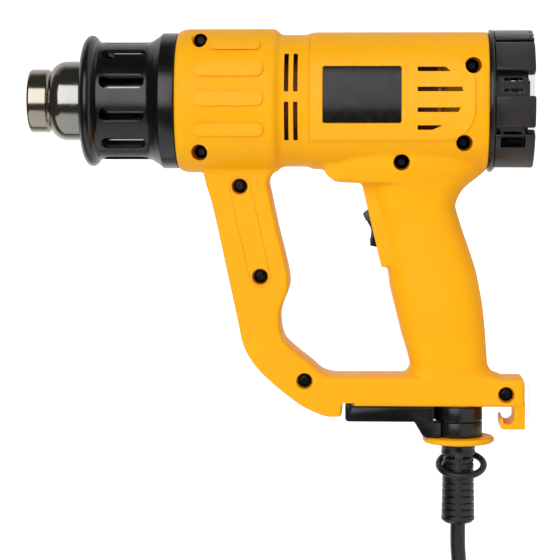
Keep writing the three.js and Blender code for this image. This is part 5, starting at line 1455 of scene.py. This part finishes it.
def tail_points():
    """The bend from the outer loop over the others, and into the plug on top of them."""
    heading = coil_heading(COIL_TURNS)
    start = coil_point(COIL_TURNS) + heading * (STRAIGHT + GAP)
    first = math.atan2(heading.x, -heading.y)
    points = []
    for along, up in TAIL_SHARES:
        angle = first - TAIL_TURNED * along
        points.append(Vector((
            start.x + TAIL_BEND * (math.cos(angle) - math.cos(first)),
            start.y + TAIL_BEND * (math.sin(angle) - math.sin(first)),
            start.z + (PLUG_Z - start.z) * up)))
    return points


def cord_line():
    """The middle line of the whole cord, from the boot to the plug."""
    steps = round(COIL_TURNS * COIL_STEPS)
    line = through(LEAD, 5)
    line.append(coil_point(0) - coil_heading(0) * STRAIGHT)
    line += [coil_point(COIL_TURNS * step / steps) for step in range(steps + 1)]
    line.append(coil_point(COIL_TURNS) + coil_heading(COIL_TURNS) * STRAIGHT)
    return line + through(tail_points(), 4)


def plug_place():
    """The plug's own frame: the cord comes in along +X, the pins leave along +X."""
    heading = coil_heading(COIL_TURNS)
    aim = math.atan2(heading.y, heading.x) - TAIL_TURNED
    start = tail_points()[-1] + Vector((math.cos(aim), math.sin(aim), 0)) * GAP
    return Matrix.Translation(start) @ Matrix.Rotation(aim, 4, "Z")


def plug_form():
    """The plug's body, with grip grooves in its sides and a socket for each pin."""
    body = slab(softened(PLUG_OUTLINE, 5), -PLUG_HALF, PLUG_HALF, turn=LAID_FLAT, edge=3,
                segments=4)
    cutters = []
    for side in (-1, 1):
        low, high = side_span(side, 16.6, 20)
        cutters += [block((x - 0.5, low, -9), (x + 0.5, high, 9)) for x in (22, 25, 28, 31)]
        cutters.append(rod(SOCKET_RADIUS, (31, side * PIN_OFFSET, 0), (38, side * PIN_OFFSET, 0)))
    return cut(body, cutters)


def pin_form(side):
    """A round pin with a rounded tip."""
    profile = softened([(0, 31.3, 0), (PIN_RADIUS, 31.3, 0.2), (PIN_RADIUS, 56, 1.6),
                        (0, 56, 0)], 5)
    return spun(profile, 32, Matrix.Translation((0, side * PIN_OFFSET, 0))
                @ Matrix.Rotation(math.pi / 2, 4, "Y"), closed=False)


def tie_form(cord_radius):
    """The strap round one side of the coil."""
    inner = COIL_INNER + COIL_PITCH * COIL_BLEND / 2 - cord_radius - TIE_GAP
    outer, top = COIL_OUTER + cord_radius + TIE_GAP, COIL_TOP + TIE_GAP
    loop = block((inner - TIE_THICKNESS, -TIE_HALF, 0),
                 (outer + TIE_THICKNESS, TIE_HALF, top + TIE_THICKNESS), edge=0.35, segments=2)
    hole = block((inner, -9, TIE_THICKNESS), (outer, 9, top), edge=0.3, segments=2)
    return moved(cut(loop, [hole]), Matrix.Translation((COIL_CENTRE.x, COIL_CENTRE.y, 0))
                 @ around_z(TIE_TURN))


class HEATGUN_OT_cord(bpy.types.Operator):
    """Makes the power cord with its coil, tie and plug"""

    bl_idname = "heat_gun.cord"
    bl_label = "Cord and plug"

    def execute(self, context):
        radius = context.scene.heat_gun_sizes.cord_radius
        place = plug_place()
        plug = finished(moved(plug_form(), place), "plug", finish("Black rubber"), "black_rubber",
                        "housing", "plug_body", sharp=40)
        pins = [finished(moved(pin_form(side), place), f"pin_{index}", finish("Brass"), "brass",
                         "housing", f"plug_pin_{index}")
                for index, side in ((1, -1), (2, 1))]
        tie = finished(tie_form(radius / MM), "tie", finish("Black rubber"), "black_rubber",
                       "housing", "cord_tie")

        line = [TO_ROW @ point for point in cord_line()]
        curve = bpy.data.curves.new("cord", "CURVE")
        curve.dimensions = "3D"
        curve.bevel_depth = radius
        curve.bevel_resolution = 4
        curve.use_fill_caps = True
        spline = curve.splines.new("POLY")
        spline.points.add(len(line) - 1)
        for spot, point in zip(spline.points, line):
            spot.co = (*point, 1)
        spline.use_smooth = True
        cord = linked("cord", curve)
        curve.materials.append(finish("Black rubber"))
        length = sum((b - a).length for a, b in zip(line, line[1:]))
        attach(cord, "housing")
        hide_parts("power_cord", "cord_coil", "cord_tail")
        return {"FINISHED"}


# ---------------------------------------------------------------- inside, stage and panel

INSIDE = {
    "dial_potentiometer": "Black plastic", "control_board": "Circuit board",
    "triac_heatsink": "Aluminium", "filter_capacitor": "Capacitor", "insulator_tube": "Mica",
    # The air duct's brown is partly painted shade behind the vent slots.
    "heater_base": "Ceramic", "air_duct": "Brown phenolic and painted shade", "fan_wheel": "Black plastic",
    "motor_can": "Plated steel", "motor_mount": "Black plastic", "motor_shaft": "Plated steel",
    "switch_body": "Black plastic", "cord_clamp": "Black plastic", "clamp_screw_1": "Plated steel",
    "clamp_screw_2": "Plated steel", "terminal_block": "Ceramic", "cord_inner": "Black rubber",
}


class HEATGUN_OT_inside(bpy.types.Operator):
    """Finishes the parts inside, which keep their modelled shapes"""

    bl_idname = "heat_gun.inside"
    bl_label = "Parts inside"

    def execute(self, context):
        for node, name in INSIDE.items():
            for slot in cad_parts[node].material_slots:
                slot.material = finish(name)
        return {"FINISHED"}


# Stage: how bright the floor and the world are to the camera, in a mirror and as light
FLOOR_SEEN = 0.78
FLOOR_MIRRORED = 0.25
WORLD_SEEN = 1
WORLD_MIRRORED = 0.07
WORLD_LIGHT = 0.36

# Stage: the lamps in metres and watts, as name, place, aim, height, width and power
LAMPS = (
    ("key", (0.57, -1.4, 0.62), (0.05, 0, 0.13), 1.5, 1.4, 18.6),
    ("under", (-0.82, -0.24, 0.4), (0.05, 0, 0.13), 1.3, 1.0, 4),
    ("top", (0.75, 0.65, 0.45), (0.02, 0, 0.13), 0.9, 1.3, 1),
    ("behind", (-0.2, 0.95, 0.5), (0, 0, 0.13), 1.2, 1.3, 2.6),
)

# Stage: where the camera stands and aims, and how wide a field it sees there, in metres
CAMERA_PLACE = (0.086, -1.123, 0.077)
CAMERA_AIM = (-0.0018, 0, 0.1295)
VIEW_WIDTH = 0.2912

# Stage: a sheet two metres across, grown and set in place as the floor and the backdrop
FLOOR_PLACE = Matrix.Translation((0, 1.22, 0)) @ Matrix.Diagonal((4.5, 1.44, 1, 1))
WALL_PLACE = Matrix.Translation((0, 2.6, 4.5)) @ LAID_FLAT @ Matrix.Diagonal((4.5, 4.5, 1, 1))


def by_ray(tree, seen, mirrored, light):
    """A strength of its own for what the camera sees, for mirrored rays and for the rest."""
    path = tree.nodes.new("ShaderNodeLightPath")
    bounced = reckoned(tree, "ADD", path.outputs["Is Glossy Ray"],
                       path.outputs["Is Transmission Ray"], clamp=True)
    shown = reckoned(tree, "MULTIPLY", path.outputs["Is Camera Ray"], seen)
    return reckoned(tree, "MAXIMUM", shown, ranged(tree, bounced, 0, 1, light, mirrored))


def pale_floor(colour):
    """A dull pale material that is a little bright by itself."""
    material = bpy.data.materials.new("Pale floor")
    material.use_nodes = True
    tree = material.node_tree
    shader = tree.nodes["Principled BSDF"]
    shader.inputs["Base Color"].default_value = colour
    shader.inputs["Roughness"].default_value = 0.9
    shader.inputs["Emission Color"].default_value = WHITE
    tree.links.new(by_ray(tree, FLOOR_SEEN, FLOOR_MIRRORED, 0), shader.inputs["Emission Strength"])
    return material


def sheet(name, place, material):
    """A flat sheet of the stage, which isn't part of the object."""
    bm = bmesh.new()
    bmesh.ops.create_grid(bm, x_segments=2, y_segments=2, size=1, matrix=place)
    mesh = mesh_from(bm, name)
    mesh.materials.append(material)
    linked(name, mesh)


def facing(place, aim):
    """A matrix at a place that looks at an aim, with +x upwards in the picture."""
    ahead = (aim - place).normalized()
    right = ahead.cross(Vector((1, 0, 0))).normalized()
    return Matrix.Translation(place) @ Matrix(
        (right, right.cross(ahead), -ahead)).transposed().to_4x4()


def lamp(name, place, aim, tall, wide, power):
    """A soft box that the camera doesn't see. Its height runs along X."""
    data = bpy.data.lights.new(name, "AREA")
    data.shape = "RECTANGLE"
    data.size, data.size_y = wide, tall
    data.energy = power
    item = linked(name, data)
    item.matrix_world = facing(Vector(place), Vector(aim))
    item.visible_camera = False


class HEATGUN_OT_stage(bpy.types.Operator):
    """Sets the pale floor, the lamps and the camera"""

    bl_idname = "heat_gun.stage"
    bl_label = "Stage"

    def execute(self, context):
        scene = context.scene
        material = pale_floor(tuple(scene.heat_gun_colours.backdrop))
        sheet("floor", FLOOR_PLACE, material)
        sheet("wall", WALL_PLACE, material)

        world = bpy.data.worlds.new("Studio")
        scene.world = world
        world.use_nodes = True
        tree = world.node_tree
        light = tree.nodes["Background"]
        light.inputs["Color"].default_value = WHITE
        tree.links.new(by_ray(tree, WORLD_SEEN, WORLD_MIRRORED, WORLD_LIGHT),
                       light.inputs["Strength"])
        for values in LAMPS:
            lamp(*values)

        place, aim = Vector(CAMERA_PLACE), Vector(CAMERA_AIM)
        data = bpy.data.cameras.new("camera")
        data.angle = 2 * math.atan(VIEW_WIDTH / 2 / (aim - place).length)
        camera = linked("camera", data)
        camera.matrix_world = facing(place, aim)
        scene.camera = camera
        scene.view_settings.view_transform = "Standard"
        return {"FINISHED"}


STEPS = ("finishes", "stage", "cord", "housing", "labels", "rear_cap", "dial", "guard", "nozzle",
         "rocker", "screws", "stand", "boot", "inside")


class HEATGUN_PT_pieces(bpy.types.Panel):
    """Lists the steps and the sizes of the heat gun"""

    bl_idname = "HEATGUN_PT_pieces"
    bl_label = "Heat gun"
    bl_space_type = "VIEW_3D"
    bl_region_type = "UI"
    bl_category = "Heat gun"

    def draw(self, context):
        for step in STEPS:
            self.layout.operator(f"heat_gun.{step}")
        for group in (context.scene.heat_gun_sizes, context.scene.heat_gun_colours):
            for label in group.__annotations__:
                self.layout.prop(group, label)


CLASSES = (
    HeatGunSizes, HeatGunColours, HEATGUN_OT_finishes, HEATGUN_OT_stage, HEATGUN_OT_cord,
    HEATGUN_OT_housing, HEATGUN_OT_labels, HEATGUN_OT_rear_cap, HEATGUN_OT_dial, HEATGUN_OT_guard,
    HEATGUN_OT_nozzle, HEATGUN_OT_rocker, HEATGUN_OT_screws, HEATGUN_OT_stand, HEATGUN_OT_boot,
    HEATGUN_OT_inside, HEATGUN_PT_pieces,
)


def register():
    for item in CLASSES:
        bpy.utils.register_class(item)
    bpy.types.Scene.heat_gun_sizes = bpy.props.PointerProperty(type=HeatGunSizes)
    bpy.types.Scene.heat_gun_colours = bpy.props.PointerProperty(type=HeatGunColours)


def unregister():
    del bpy.types.Scene.heat_gun_sizes
    del bpy.types.Scene.heat_gun_colours
    for item in reversed(CLASSES):
        bpy.utils.unregister_class(item)


def main():
    register()
    for step in STEPS:
        getattr(bpy.ops.heat_gun, step)()


if __name__ == "__main__":
    main()
